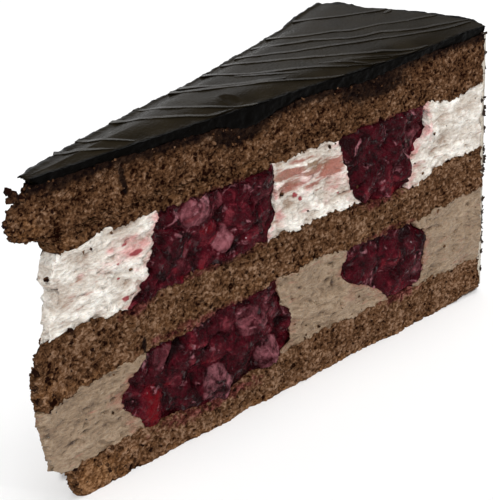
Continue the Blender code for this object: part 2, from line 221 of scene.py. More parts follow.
# Marks on the front cut, as (radius, height, half length, half height, strength), in millimetres
SPONGE_MARKS = {
    "top": {
        "soak": (
            (52, 67.5, 9, 3.2, 1.5), (92, 67.5, 12, 3.2, 1.4), (88, 64, 2.5, 1.6, 0.6),
            (22, 67.4, 0.55, 2.6, 1.8), (22.4, 64.2, 0.5, 1.8, 1.8), (3, 68, 5, 1.6, 0.6),
            (36, 64, 3, 1.4, 0.4),
        ),
        "juice": ((44, 55.5, 14, 1.6, 0.8), (95, 57.5, 13, 1.6, 0.8)),
        "toast": ((-2, 61, 5, 6, 0.6), (8, 56, 9, 2.5, 0.5), (70, 58, 60, 1.6, 0.4)),
    },
    "middle": {
        "soak": ((22.7, 28, 0.5, 2, 1.8), (46, 38.6, 4, 1, 0.6)),
        "juice": (
            (22, 37.6, 5, 2.4, 1), (44, 39.5, 15, 1.4, 0.8), (94, 39, 9, 2, 0.9),
            (40, 28, 20, 1.6, 0.8), (95, 29.5, 13, 1.6, 0.7),
        ),
        "toast": ((-2, 27, 6, 5, 0.5), (70, 31, 60, 1.4, 0.4), (10, 26, 10, 1.5, 0.5)),
    },
    "bottom": {
        "soak": ((132, 5.5, 1.6, 2.6, 1),),
        "juice": ((38, 6.8, 17, 2.2, 0.9), (100, 10.5, 9, 2, 0.8)),
        "toast": ((6, 3, 12, 6, 0.9), (60, 0, 80, 1.8, 0.6)),
    },
}
CREAM_MARKS = {
    "white": {
        "blush": (
            (9.6, 48.8, 1.4, 0.9, 0.7), (15.5, 49, 5, 3, 0.4), (22.5, 50.6, 6, 3, 0.9),
            (26, 46, 1.6, 4, 0.6), (17, 52.2, 2, 1, 0.6), (70, 51, 13, 3.4, 0.6),
            (61, 45, 1.8, 2.6, 0.9), (79, 47.5, 4, 3.4, 0.6), (103.5, 41.5, 2.6, 3.6, 0.8),
            (106, 43.2, 3, 1.8, 0.6), (111, 52, 0.9, 5, 0.6), (70.5, 43.5, 3, 0.8, 0.4),
            (76, 43.4, 2.4, 1, 0.5),
        ),
        "stain": (
            (20.3, 52.1, 1.2, 0.6, 0.9), (23.2, 49.4, 1.9, 0.7, 1), (18.6, 45, 0.5, 0.35, 1),
            (19.3, 40.2, 1.4, 1.2, 0.9), (66.4, 48.3, 0.9, 0.8, 1), (67.7, 47, 0.8, 0.8, 1),
            (79.6, 44.7, 0.8, 0.7, 0.9), (18, 48.8, 0.7, 0.4, 0.6), (110, 46, 1, 0.8, 0.4),
        ),
        "smear": (
            (65, 54, 5.5, 1, 1.1), (66, 50.6, 4, 1.5, 0.6), (71, 54, 7, 1, 0.7),
            (73, 53.1, 5, 0.7, 0.8), (70, 55.6, 7, 0.7, 0.5), (78, 51.3, 3.6, 1.8, 1.1),
            (74, 52.4, 3, 1.1, 0.9), (71, 52.4, 6, 0.9, 0.9), (63, 51, 3, 1, 0.7),
            (63.5, 47.3, 2.2, 0.9, 0.6), (72, 49, 4, 0.8, 0.6), (62.4, 49.6, 0.9, 0.7, 1.2),
            (10.6, 44.8, 1.6, 0.8, 0.35),
        ),
        # Clefts: cracks and holes sunk into the cream and painted near-black as painted shade
        "cleft": (
            (81.5, 44, 1.9, 0.16, 1), (1.5, 50, 0.5, 1.2, 0.8), (9, 45, 2, 0.3, 0.6),
            (12, 53, 1.6, 0.3, 0.6), (62.6, 49.5, 0.9, 0.6, 0.5),
        ),
    },
    "chocolate": {
        "blush": (
            (15.5, 18, 3.6, 2.2, 0.8), (18, 12, 2.6, 5, 0.6), (82.5, 17, 2.4, 1.8, 0.7),
            (63.5, 12, 1.4, 4, 0.4), (90, 14.5, 5, 0.8, 0.4), (109.5, 16, 1, 4, 0.3),
        ),
        "stain": ((17, 17.2, 1.2, 0.6, 0.7), (83, 17.4, 1, 0.7, 0.4)),
        "smear": (),
        # Clefts: cracks and holes sunk into the cream and painted near-black as painted shade
        "cleft": (
            (76, 23.4, 0.9, 0.5, 1), (77.6, 21.9, 0.5, 1.3, 1), (1.2, 13.8, 1.5, 0.35, 1.2),
            (5.6, 15.1, 1.4, 0.25, 1), (6.5, 20, 1.6, 0.35, 0.7), (66.5, 25, 0.6, 0.3, 1),
            (67.5, 15, 0.4, 0.6, 1), (77, 14.2, 0.7, 0.3, 0.9), (111, 25.4, 1.8, 0.3, 0.8),
            (9, 15.5, 1.2, 0.3, 0.7),
        ),
    },
}

# Cherries that the front cut opens, as (radius, height, half length, half height, tilt in
# degrees, rise, tone from dark to light red, share of pale flesh), in millimetres
CHERRIES = {
    "inner_white": (
        (31, 53.5, 4, 3, 0, 1, 0.2, 0), (38, 52.6, 5.5, 2.8, 10, 0.9, 0.5, 0.75),
        (45, 53.2, 3.5, 3, 0, 0.9, 0.5, 0.5), (51, 53.6, 4, 3.2, 0, 1.1, 0.35, 0.15),
        (57, 53, 3.4, 3.6, 0, 1.3, 0.4, 0.4), (30, 45.6, 5.6, 5, 0, 1.5, 0.08, 0),
        (24, 40.6, 4.2, 3.6, 20, 1.3, 0.15, 0.15), (35.6, 43, 3, 3.6, 0, 1, 0.4, 0.4),
        (41, 47.4, 4.2, 3.4, 0, 1.2, 0.6, 0.1), (45.6, 44.6, 3.4, 2.8, 25, 1.6, 0.7, 0.9),
        (50.5, 48.4, 3.6, 3.2, 0, 1.3, 0.6, 0.3), (55.8, 47.5, 3.8, 3.8, 0, 1.4, 0.4, 0.1),
        (54, 42, 4.2, 3, 0, 1, 0.5, 0), (40, 41, 4.5, 2.4, 0, 0.9, 0.6, 0),
        (31, 40, 4.5, 1.8, 0, 0.6, 0.55, 0), (20, 37.6, 3, 2, 0, 0.8, 0.6, 0),
    ),
    "outer_white": (
        (85.5, 54.5, 4, 3.4, 0, 1, 0.25, 0), (93, 55, 4.2, 3.4, 0, 1.2, 0.3, 0),
        (100.5, 55.4, 4, 3.4, 0, 1, 0.35, 0), (107.3, 55.6, 3.4, 3.4, 0, 1.2, 0.4, 0.2),
        (85.5, 48, 3.8, 3.6, 0, 1.2, 0.2, 0), (92, 48.6, 4, 3.6, 0, 1.4, 0.3, 0),
        (98.6, 49, 3.8, 3.6, 0, 1.2, 0.25, 0.1), (105.5, 50.6, 3.8, 3, 0, 1.3, 0.3, 0.55),
        (89, 42.6, 3.8, 3.6, 30, 1.2, 0.35, 0), (95.5, 42.8, 3.6, 3.4, 0, 1.2, 0.4, 0),
        (101.3, 43.4, 3, 4, 0, 1, 0.45, 0.1), (107.6, 46, 2.6, 1.7, -20, 1.2, 1, 0),
        (95, 38.4, 5, 1.8, 0, 0.6, 0.6, 0),
    ),
    "inner_chocolate": (
        (20, 22.6, 4, 2.6, 25, 0.9, 0.35, 0.35), (26.6, 24, 3.6, 2.5, 15, 1, 0.4, 0.55),
        (36.4, 24.6, 4, 2.7, 0, 1, 0.55, 0.2), (44.5, 24, 4, 3.3, 0, 1.1, 0.45, 0.35),
        (52, 22.6, 4.4, 3.8, 0, 1.4, 0.5, 0.7), (58.6, 23.4, 2.7, 3.4, 0, 1, 0.4, 0.5),
        (22.5, 12.4, 4, 5.6, 10, 1.3, 0.6, 0), (18, 17.6, 3.4, 2, -20, 0.9, 0.5, 0.1),
        (30.4, 12, 3.8, 4.6, 0, 1.2, 0.15, 0.1), (31, 18, 4.4, 2.7, 0, 1.1, 0.35, 0.3),
        (39.8, 11, 4.6, 4.8, 0, 2, 0.35, 1), (40.4, 18, 4.6, 3, 0, 1.1, 0.5, 0.1),
        (47.6, 17, 4.2, 3.6, 0, 1.3, 0.4, 0.1), (48, 11, 4, 3.6, 0, 1.1, 0.2, 0.1),
        (56.4, 12.4, 4.2, 3.8, 0, 1.6, 0.4, 0.9), (55.4, 17.6, 4, 2.4, 0, 0.9, 0.5, 0.3),
        (61.6, 14.6, 2.6, 4.2, 0, 1, 0.35, 0),
    ),
    "outer_chocolate": (
        (84.4, 26.6, 4, 3, 0, 0.9, 0.35, 0.1), (84, 20.6, 3.8, 3.2, 0, 1, 0.3, 0),
        (91, 25, 4.4, 3.6, 0, 1, 0.35, 0.1), (96.6, 22.6, 3.8, 4.6, 0, 1.2, 0.45, 0.15),
        (103, 24.6, 4, 4, 0, 1, 0.3, 0.3), (107.4, 24.4, 2.4, 4, 0, 1, 0.2, 0),
        (90.6, 18.6, 4.4, 3.2, 0, 0.9, 0.35, 0), (96.4, 15.6, 4.2, 3.6, 0, 1, 0.4, 0),
        (102.8, 17.4, 4.2, 4, 0, 1.2, 0.3, 0.2), (107.2, 17, 2.6, 4, 0, 1.1, 0.25, 0.5),
        (100, 12.2, 4.4, 2.2, 0, 0.8, 0.45, 0), (105.4, 12.4, 3.6, 2.4, 0, 0.9, 0.35, 0.3),
    ),
}
# Hollows between them, as (radius, height, half length, half height, depth)
HOLLOWS = {
    "inner_white": (
        (47.4, 41.8, 2.6, 1.1, 1.3), (33, 50.4, 1.6, 0.6, 0.8), (25.5, 44, 1, 0.8, 0.6),
    ),
    "outer_white": ((87, 44.6, 1.5, 0.8, 0.8), (103, 48.6, 1.6, 0.8, 0.7)),
    "inner_chocolate": (
        (32.4, 24, 2.4, 1.5, 1.4), (29, 22.2, 1.8, 1.2, 1.3), (37, 20.9, 2.6, 0.7, 1),
        (60.4, 18.6, 2.2, 1.6, 1.2), (34.4, 14.4, 0.9, 2, 0.9), (22.6, 23, 0.5, 3, 0.8),
        (42.5, 21, 1.5, 0.6, 0.7),
    ),
    "outer_chocolate": ((107, 27, 1.4, 0.8, 0.8), (99.3, 18.4, 0.7, 2.2, 0.6)),
}
# Bright juice on them, given as the marks are
BRIGHT = {
    "inner_white": (
        (41, 48.5, 3, 1.2, 0.7), (36, 40, 7, 0.8, 0.6), (57, 43, 2, 3, 0.4),
        (36, 52.6, 3, 0.8, 0.6),
    ),
    "outer_white": ((107.6, 46, 2.4, 1.4, 1), (96, 38.6, 6, 1.2, 0.6)),
    "inner_chocolate": (
        (22.8, 13, 3, 5, 1), (23, 8.6, 3, 1.6, 0.8), (26, 17, 2.4, 1.2, 0.5),
        (38, 17.6, 4, 1.2, 0.5), (35, 24, 1.4, 1.6, 0.4),
    ),
    "outer_chocolate": ((98.4, 22, 0.7, 3.4, 1), (94.6, 22.6, 2, 2, 0.4)),
}

# Single crumbs that stick out, as (radius, side, height, size) in millimetres
TIP_CRUMBS = (
    (-2.6, -0.6, 69.9, 2.2),
    (-3.6, -0.6, 71, 1.6),
    (-3.5, -0.6, 69.2, 1.7),
    (-1.4, -0.8, 69, 1.8),
    (-4.9, -0.2, 65, 1.5),
    (-4.3, -0.3, 62, 1.3),
    (0.9, -1, 51.3, 1.4),
    (5.5, -1, 38.6, 1.9),
    (11, -1, 38.5, 1.6),
    (3.2, -1, 37.4, 1.5),
    (-3.6, -0.4, 33, 1.6),
    (-4.4, 0, 30, 1.7),
    (-4.1, -0.5, 26.5, 1.5),
    (62.5, -1, 49.6, 1.1),
    (85.8, -1, 44.4, 1),
)

# How ragged the loose crumbs are
CRUMB_RAGGED = 1.1 * MM

# How far the marks lie shifted along on the back cut, in millimetres
BACK_MARK_SHIFT = 4

# How lightly each sponge is baked, and the colours of crumb full of juice, from the painted shade
# of a pore to the painted light of a crest
SPONGE_BAKE = {"top": 0.0, "middle": 0.5, "bottom": 0.75}
JUICY_CRUMB = ((0.0, (0.012, 0.001, 0.002)), (0.5, (0.06, 0.008, 0.009)), (1.0, (0.2, 0.05, 0.05)))

# The tint and the stain of juice in each band's cream, and the cream's relief in millimetres
CREAM_JUICE = {
    "white": ((0.96, 0.47, 0.5), (0.25, 0.012, 0.02)),
    "chocolate": ((0.97, 0.6, 0.6), (0.2, 0.02, 0.025)),
}
CREAM_RELIEF = {
    "white": {"drags": 0.7, "swells": 0.55, "curds": 0.55, "pits": 0.7, "bubbles": 0.25},
    "chocolate": {"drags": 0.6, "swells": 0.2, "curds": 0.3, "pits": 0.7, "bubbles": 0.6},
}

# The share of the drag marks that is left in the cream at the rim
RIM_DRAGS = 0.7

# Where the glaze's fall towards the cuts grows less, and by what share
FALL_FADE = 0.7
FALL_FADE_START = 108 * MM
FALL_FADE_END = 126 * MM

# The grids of the glaze and the coat
GLAZE_LENGTH = 136 * MM
GLAZE_STEP = 0.4 * MM
GLAZE_SIDES = 73
GLAZE_UPS = 11
COAT_SIDES = 121
COAT_HEIGHT = 72 * MM
COAT_STEP = 0.45 * MM

# Refractive indices, which make the glaze and its ridges more or less glossy
GLAZE_GLOSS = 1.094
DRIZZLE_GLOSS = 1.22

# The camera's azimuth, elevation and roll in degrees, its lens, aim and distance
CAMERA_TURNS = (-49.708, 25.030, -3.976)
CAMERA_LENS = 84.56
CAMERA_AIM = (-0.00131, 0, 0.03251)
CAMERA_DISTANCE = 0.27399

# The floor's half size and its drop under the slice
FLOOR_REACH = 9
FLOOR_DROP = 0.02 * MM

# The lights, as (name, direction, strength, width in degrees), and the room's own light
LAMPS = (
    ("key", (-0.8, -0.68, 0.95), 2.15, 6),
    ("top", (0.1, -0.15, 1), 1.2, 40),
    ("back", (0.45, 0.79, 0.42), 0.38, 50),
    ("sparkle", (0.3, -1.0, 0.3), 0.42, 2),
)
ROOM_LIGHT = 0.24

# ---------------------------------------------------------------- shapes shared with the solids


def eased(knots, place):
    """The values at places among knots, easing from each knot to the next."""
    places, values = np.array(knots, float).T
    i = np.clip(np.searchsorted(places, place) - 1, 0, len(places) - 2)
    share = np.clip((place - places[i]) / (places[i + 1] - places[i]), 0, 1)
    return values[i] + (values[i + 1] - values[i]) * share * share * (3 - 2 * share)


def ramp(start, end, place):
    """0 before start, 1 after end, and a smooth step between them."""
    return eased(((start, 0), (end, 1)), place)


def uneven(radius, side, height, bumps, name):
    """Smooth noise with bumps of a height and a length, always the same under one name."""
    depth, length = bumps
    seed = sum(map(ord, name))
    radius, side, height = np.broadcast_arrays(radius, side, height)
    places = np.stack((radius, side * SLICE_WIDTH, height), -1) / length + (seed, 2 * seed, 0.5)
    values = [noise.noise(place) for place in places.reshape(-1, 3).tolist()]
    return depth * np.array(values).reshape(radius.shape)


def frayed(radius, side, height, name):
    """Ragged small steps in a border, about a crumb deep."""
    return sum(uneven(radius, side, height, bumps, f"{name} fray") for bumps in FRAYS)


def level(name, knots, fray=1.0):
    """A function of radius and side that gives the height of the border between two layers."""

    def height(radius, side):
        drift = uneven(radius, side, 0, LEVEL_DRIFT, name)
        ragged = frayed(radius, side, 0, name) * (abs(side) == 1) * fray
        return eased(knots, radius / MM) * MM + drift * (1 + side) / 2 + ragged

    return height


def upright(name, knots, fray=1.0):
    """A function of side and share of height that gives the radius of an upright border."""

    def radius(side, share):
        height = share * BORDER_HEIGHT
        drift = uneven(0, side, height, BORDER_DRIFT, name)
        ragged = frayed(0, side, height, name) * fray
        return eased(knots, share) * MM + drift * (1 + side) / 2 + ragged

    return radius


def half_width(radius):
    """Half the slice's width at a radius. It stays blunt round the tip."""
    straight = radius * math.sin(HALF_ANGLE)
    return (straight + np.hypot(straight, 2 * TIP_HALF_WIDTH)) / 2


def spot(radius, side, height):
    """The points at a radius, side and height."""
    turn = side * HALF_ANGLE
    bow = TIP_ROUNDING * side * side * (1 - ramp(0, TIP_END, radius))
    x = radius * np.where(radius > 0, np.cos(turn), 1) + bow
    y = half_width(radius) * np.sin(turn) / math.sin(HALF_ANGLE)
    y = y + eased(BACK_BOW, radius / MM) * MM * np.maximum(side, 0)
    return np.stack(np.broadcast_arrays(CAKE_CENTRE_X + x, y, height), -1)


def layer_rim(side, share):
    """The rim of every layer, just inside the coat."""
    return np.full(np.shape(share), LAYER_RIM)


def shifted(border, by):
    """The same border or level, moved by a distance."""
    return lambda first, second: border(first, second) + by


def underside(radius, side):
    """The slice's flat underside, which lifts a little at the front corner of the rim."""
    return UNDERSIDE_LIFT * ramp(LIFT_START, LIFT_END, radius) * ramp(0.3, 1, -side)


def glaze_top(radius, side):
    """Height of the glaze, which falls towards both cuts and has a raised lip along the back."""
    inwards = (1 - abs(side)) * half_width(radius)
    fade = 1 - FALL_FADE * ramp(FALL_FADE_START, FALL_FADE_END, radius)
    fall = GLAZE_FALL * fade * (1 - ramp(0, 1, inwards / GLAZE_FALL_WIDTH)) ** 2
    lip = GLAZE_LIP * np.exp(-((inwards / GLAZE_LIP_WIDTH - 0.8) ** 2)) * (side > 0)
    return GLAZE_TOP - fall + lip


def layer_levels():
    """The heights between the layers, each a function of radius and side."""
    return {
        "glaze foot": level("glaze foot", GLAZE_FOOT, 0.4),
        "white top": level("white top", WHITE_TOP),
        "white foot": level("white foot", WHITE_FOOT),
        "chocolate top": level("chocolate top", CHOCOLATE_TOP),
        "chocolate foot": level("chocolate foot", CHOCOLATE_FOOT),
        "underside": underside,
    }


# ---------------------------------------------------------------- skins


class Skin:
    """A closed mesh over the outside of a grid, with values at its points."""

    def __init__(self, alongs, sides, ups, point):
        alongs, sides, ups = (np.array(steps, float) for steps in (alongs, sides, ups))
        outside = np.zeros((len(alongs), len(sides), len(ups)), bool)
        outside[[0, -1]] = outside[:, [0, -1]] = outside[:, :, [0, -1]] = True
        i, j, k = np.nonzero(outside)
        number = np.zeros(outside.shape, int)
        number[outside] = np.arange(len(i))
        sheets = (
            number[0].T,
            number[-1],
            number[:, 0],
            number[:, -1].T,
            number[:, :, 0].T,
            number[:, :, -1],
        )
        corners = [(s[:-1, :-1], s[1:, :-1], s[1:, 1:], s[:-1, 1:]) for s in sheets]
        self.faces = np.concatenate([np.stack(four, -1).reshape(-1, 4) for four in corners])
        self.along, self.side, self.up = alongs[i], sides[j], ups[k]
        self.radius, self.points = point(self.along, self.side, self.up)
        self.height = self.points[:, 2]
        self.cut = abs(self.side) == 1
        self.values = {}

    def open_to(self, ways, room):
        """Sets the way and the share in which the relief may move each point."""
        ways = ways / np.maximum(np.linalg.norm(ways, axis=1), 1e-9)[:, None]
        self.values["out"] = ways * np.asarray(room)[:, None]

    def cut_ways(self):
        """The way out of the cut face, for each point that lies on one."""
        ways = np.zeros((len(self.side), 3))
        ways[:, 0] = -math.sin(HALF_ANGLE)
        ways[:, 1] = self.side * math.cos(HALF_ANGLE)
        return ways * self.cut[:, None]

    def marked(self, marks):
        """How strongly the marks cover each point, shifted along on the back cut."""
        radius = self.radius / MM + BACK_MARK_SHIFT * (self.side > 0.95)
        return covered(radius, self.height / MM, marks)

    def build(self, name):
        """An object with this mesh, smooth, with its values as attributes."""
        thing = grown(name, self.points.tolist(), faces=self.faces.tolist(), **self.values)
        thing.data.shade_smooth()
        return thing

def placed(name, mesh):
    """An object with this mesh, linked to the scene."""
    thing = bpy.data.objects.new(name, mesh)
    bpy.context.scene.collection.objects.link(thing)
    return thing


def grown(name, points, edges=(), faces=(), **values):
    """An object with a new mesh that carries numbers or vectors at its points."""
    mesh = bpy.data.meshes.new(name)
    mesh.from_pydata(points, edges, faces)
    for label, rows in values.items():
        rows = np.asarray(rows, float)
        kind, field = ("FLOAT_VECTOR", "vector") if rows.ndim == 2 else ("FLOAT", "value")
        mesh.attributes.new(label, kind, "POINT").data.foreach_set(field, rows.ravel())
    return placed(name, mesh)

def covered(radius, height, marks):
    """How strongly soft oval marks cover each place, all in millimetres."""
    shares = [
        strength * np.exp(-(((radius - x) / length) ** 2) - ((height - y) / tall) ** 2)
        for x, y, length, tall, strength in marks
    ]
    return np.max(shares, axis=0) if shares else np.zeros(radius.shape)

def steps(length, step):
    """Even shares from 0 to 1 that split a length into steps."""
    return np.linspace(0, 1, max(2, round(length / step)) + 1)


def layer_skin(edges, levels, bumps, name, step):
    """The skin of a piece of a layer, between two upright borders and two levels."""
    start, end = edges
    foot, top = levels

    def point(along, side, up):
        first = start(side, up)
        radius = first + (end(side, up) - first) * along
        low = foot(radius, side)
        height = low + (top(radius, side) - low) * up
        places = spot(radius, side, height)
        room = np.minimum(1, half_width(radius) / (THIN_TIP * bumps[0]))
        rough = uneven(radius, side, height, bumps, name)
        places[:, 1] += np.where(abs(side) == 1, side * room * rough, 0)
        return radius, places

    ends = [float(edge(np.array([-1.0]), np.array([0.5]))[0]) for edge in edges]
    middle = np.array([sum(ends) / 2])
    deep = float((top(middle, -1.0) - foot(middle, -1.0))[0])
    sides = (-1, -0.9, 0, 0.9, 1)
    return Skin(steps(ends[1] - ends[0], step), sides, steps(deep, step), point)


# ---------------------------------------------------------------- node trees


def sign(operation, reflected=False):
    """A method that adds a Math node for a value and another value or number."""

    def method(self, other):
        return self.web.maths(operation, *((other, self) if reflected else (self, other)))

    return method

class Value:
    """A socket of a node tree. Sums, differences and products of values add Math nodes."""

    def __init__(self, web, socket):
        self.web = web
        self.socket = socket

    def __abs__(self):
        return self.web.maths("ABSOLUTE", self)

    __add__, __radd__ = sign("ADD"), sign("ADD", True)
    __sub__, __rsub__ = sign("SUBTRACT"), sign("SUBTRACT", True)
    __mul__, __rmul__ = sign("MULTIPLY"), sign("MULTIPLY", True)


class Web:
    """Adds nodes to one tree, which makes a shape or a material."""

    def __init__(self, tree):
        self.tree = tree

    def add(self, kind, sockets=None, result=0, **settings):
        """A node of that type. Its settings come first, then its sockets' values or links."""
        node = self.tree.nodes.new(kind)
        for name, value in settings.items():
            if name == "stops":
                set_stops(node.color_ramp, value)
            else:
                setattr(node, name, value)
        for name, value in (sockets or {}).items():
            if isinstance(value, Value):
                self.tree.links.new(value.socket, node.inputs[name])
            else:
                node.inputs[name].default_value = value
        return Value(self, node.outputs[result]) if node.outputs else node

    def maths(self, operation, *values):
        """A Math node on one, two or three values."""
        return self.add("ShaderNodeMath", dict(enumerate(values)), operation=operation)

    def vector(self, operation, *values, scale=None):
        """A Vector Math node."""
        sockets = dict(enumerate(values))
        if scale is not None:
            sockets["Scale"] = scale
        result = int(operation == "DOT_PRODUCT")
        return self.add("ShaderNodeVectorMath", sockets, result, operation=operation)

    def place(self):
        """The point's place in millimetres."""
        if self.tree.bl_idname == "GeometryNodeTree":
            place = self.add("GeometryNodeInputPosition")
        else:
            place = self.add("ShaderNodeTexCoord", result="Object")
        return self.vector("SCALE", place, scale=1 / MM)

    def shake(self, scale, depth):
        """A random offset of a depth in metres, alike at neighbouring points."""
        sockets = {"Vector": self.place(), "Scale": scale, "Detail": 2}
        color = self.add("ShaderNodeTexNoise", sockets, "Color")
        return self.vector("SCALE", self.vector("SUBTRACT", color, (0.5, 0.5, 0.5)), scale=depth)

    def noise(self, place, size, detail=2, rough=0.5, warp=0):
        """Noise of about -1 to 1 with bumps of a size in millimetres."""
        sockets = {"Vector": place, "Scale": 1 / size, "Detail": detail}
        sockets |= {"Roughness": rough, "Distortion": warp}
        return (self.add("ShaderNodeTexNoise", sockets) - 0.5) * 4

    def cells(self, place, size, feature="F1", result="Distance"):
        """Distance to the middle of the nearest cell, or its colour, with cells of a size."""
        sockets = {"Vector": place, "Scale": 1 / size}
        return self.add("ShaderNodeTexVoronoi", sockets, result, feature=feature)

    def lot(self, place, size):
        """A number from 0 to 1 that is the same all over one cell."""
        color = self.cells(place, size, result="Color")
        return self.add("ShaderNodeSeparateXYZ", {0: color})

    def spots(self, place, size, edge, middle, few, most):
        """Round spots in some of the cells of a size, 0 at their edge and 1 in the middle."""
        inside = self.between(self.cells(place, size), edge, middle)
        return inside * self.between(self.lot(place, size), few, most)

    def stored(self, shape, name, value, kind="FLOAT"):
        """The shape, with a value kept at its points as an attribute."""
        sockets = {"Geometry": shape, "Name": name, "Value": value}
        node = "GeometryNodeStoreNamedAttribute"
        return self.add(node, sockets, data_type=kind, domain="POINT")

    def between(self, value, low, high, least=0, most=1):
        """A smooth step of the value from low to high."""
        sockets = {"Value": value, "From Min": low, "From Max": high}
        sockets |= {"To Min": least, "To Max": most}
        return self.add("ShaderNodeMapRange", sockets, interpolation_type="SMOOTHSTEP")

    def attribute(self, name, kind="FLOAT"):
        """A value that the mesh carries at its points."""
        if self.tree.bl_idname == "GeometryNodeTree":
            return self.add("GeometryNodeInputNamedAttribute", {"Name": name}, data_type=kind)
        return self.add("ShaderNodeAttribute", result="Fac", attribute_name=name)

    def tint(self, share, first, second, blend="MIX"):
        """The first colour, mixed with the second by a share."""
        sockets = {0: share, 6: as_color(first), 7: as_color(second)}
        return self.add("ShaderNodeMix", sockets, 2, data_type="RGBA", blend_type=blend)

    def ramp(self, share, *stops):
        """A colour ramp with (place, colour) stops."""
        return self.add("ShaderNodeValToRGB", {"Fac": share}, stops=stops)


def as_color(value):
    """A colour with its fourth number, or the value as it is."""
    return value if isinstance(value, Value) else (*value, 1)


def set_stops(color_ramp, stops):
    """Gives a colour ramp these (place, colour) stops."""
    while len(color_ramp.elements) < len(stops):
        color_ramp.elements.new(1)
    for element, (place, color) in zip(color_ramp.elements, stops):
        element.position = place
        element.color = as_color(color)


SOCKETS = {float: "NodeSocketFloat", int: "NodeSocketInt", tuple: "NodeSocketVector"}


def shape_tree(name, inputs, build):
    """A node tree with named inputs. build(web, given) makes the geometry from them."""
    if name in bpy.data.node_groups:
        return bpy.data.node_groups[name]
    tree = bpy.data.node_groups.new(name, "GeometryNodeTree")
    tree.interface.new_socket("Geometry", in_out="OUTPUT", socket_type="NodeSocketGeometry")
    tree.interface.new_socket("Geometry", in_out="INPUT", socket_type="NodeSocketGeometry")
    tree.interface.new_socket("Material", in_out="INPUT", socket_type="NodeSocketMaterial")
    for label, value in inputs.items():
        socket = tree.interface.new_socket(label, in_out="INPUT", socket_type=SOCKETS[type(value)])
        socket.default_value = value
    web = Web(tree)
    entry = tree.nodes.new("NodeGroupInput")
    given = {socket.name: Value(web, socket) for socket in entry.outputs if socket.name}
    made = web.add("GeometryNodeRealizeInstances", {"Geometry": build(web, given)})
    made = web.add("GeometryNodeSetShadeSmooth", {"Geometry": made, "Shade Smooth": True})
    sockets = {"Geometry": made, "Material": given["Material"]}
    made = web.add("GeometryNodeSetMaterial", sockets)
    web.add("NodeGroupOutput", {0: made})
    return tree


def shaped(thing, tree, **inputs):
    """Runs a node tree on an object and keeps the result as its plain mesh."""
    run = thing.modifiers.new("shape", "NODES")
    run.node_group = tree
    for item in tree.interface.items_tree:
        key = item.name.lower().replace(" ", "_")
        if item.in_out == "INPUT" and key in inputs:
            run[item.identifier] = inputs[key]
    graph = bpy.context.evaluated_depsgraph_get()
    made = bpy.data.meshes.new_from_object(
        thing.evaluated_get(graph), preserve_all_data_layers=True, depsgraph=graph
    )
    thing.modifiers.clear()
    before = thing.data
    thing.data = made
    bpy.data.meshes.remove(before)
    made.name = thing.name
    return thing


def raised(web, given, relief):
    """Moves the points out by a relief in millimetres and keeps it as an attribute."""
    out = web.attribute("out", "FLOAT_VECTOR")
    offset = web.vector("SCALE", out, scale=relief * MM)
    made = web.add("GeometryNodeSetPosition", {"Geometry": given["Geometry"], "Offset": offset})
    return web.stored(made, "relief", relief)


def crumb_relief(web, given):
    """Lumps, round crumbs, grain and open pores of a cut sponge."""
    place = web.vector("ADD", web.place(), given["Shift"])
    warp = web.add("ShaderNodeTexNoise", {"Vector": place, "Scale": 0.8}, "Color")
    warped = web.vector("ADD", place, warp)
    lumps = web.noise(place, 3.4, 2) * given["Lumps"]
    crumbs = (0.5 - web.cells(warped, 0.95, "SMOOTH_F1")) * given["Crumbs"]
    grain = web.noise(warped, 0.8, 2, 0.6) * given["Grain"]
    holes = web.spots(warped, 1.7, 0.42, 0.14, 0.4, 0.9)
    pores = web.spots(warped, 3.1, 0.36, 0.14, 0.8, 1.0)
    return raised(web, given, lumps + crumbs + grain - (pores + holes * 0.7) * given["Pores"])


def cream_relief(web, given):
    """Drag marks of the knife, curds, and pits where the cream has torn."""
    place = web.vector("ADD", web.place(), given["Shift"])
    along = web.vector("DOT_PRODUCT", place, (0.4, 0.1, -0.12))
    up = web.vector("DOT_PRODUCT", place, (0.3, 0.0, 1.0))
    across = web.vector("DOT_PRODUCT", place, (0.0, 0.7, 0.0))
    dragged = web.add("ShaderNodeCombineXYZ", {"X": along, "Y": across, "Z": up})
    drags = abs(web.noise(dragged, 2.6, 2, 0.55, 0.9))
    swells = web.noise(web.vector("MULTIPLY", place, (0.6, 0.6, 1)), 3.6, 1) * given["Swells"]
    curds = (0.5 - web.cells(place, 1.6, "SMOOTH_F1")) * given["Curds"]
    torn = web.noise(dragged, 1.4, 2, 0.6)
    pits = web.between(torn, 0.45, 1.0)
    bubbles = web.spots(place, 1.5, 0.26, 0.1, 0.6, 0.8)
    low = pits * given["Pits"] + bubbles * given["Bubbles"] + web.attribute("cleft") * 0.9
    return raised(web, given, swells + (0.35 - drags) * given["Drags"] + curds - low)


def cherry_relief(web, given):
    """Torn flesh and wrinkles on the cherries, on top of their rounds and hollows."""
    place = web.vector("ADD", web.place(), given["Shift"])
    flesh = (0.45 - web.cells(place, 2.2, "SMOOTH_F1")) * given["Flesh"]
    folds = web.noise(place, 2.2, 2, 0.5, 1.0) * given["Folds"]
    fine = web.noise(place, 0.8, 2) * given["Fine"]
    return raised(web, given, web.attribute("rise") + flesh + folds + fine)


def pour_relief(web, given):
    """Slow waves on a poured or spread surface, small lumps on its edges, and its dents."""
    place = web.vector("ADD", web.place(), given["Shift"])
    waves = web.noise(place, 9, 1) * given["Waves"]
    edge = web.noise(place, 2.2, 2, 0.6) * web.attribute("edge") * given["Edge Lumps"]
    fine = web.noise(place, 0.9, 1) * given["Fine"]
    return raised(web, given, waves + edge + fine - web.attribute("dent"))


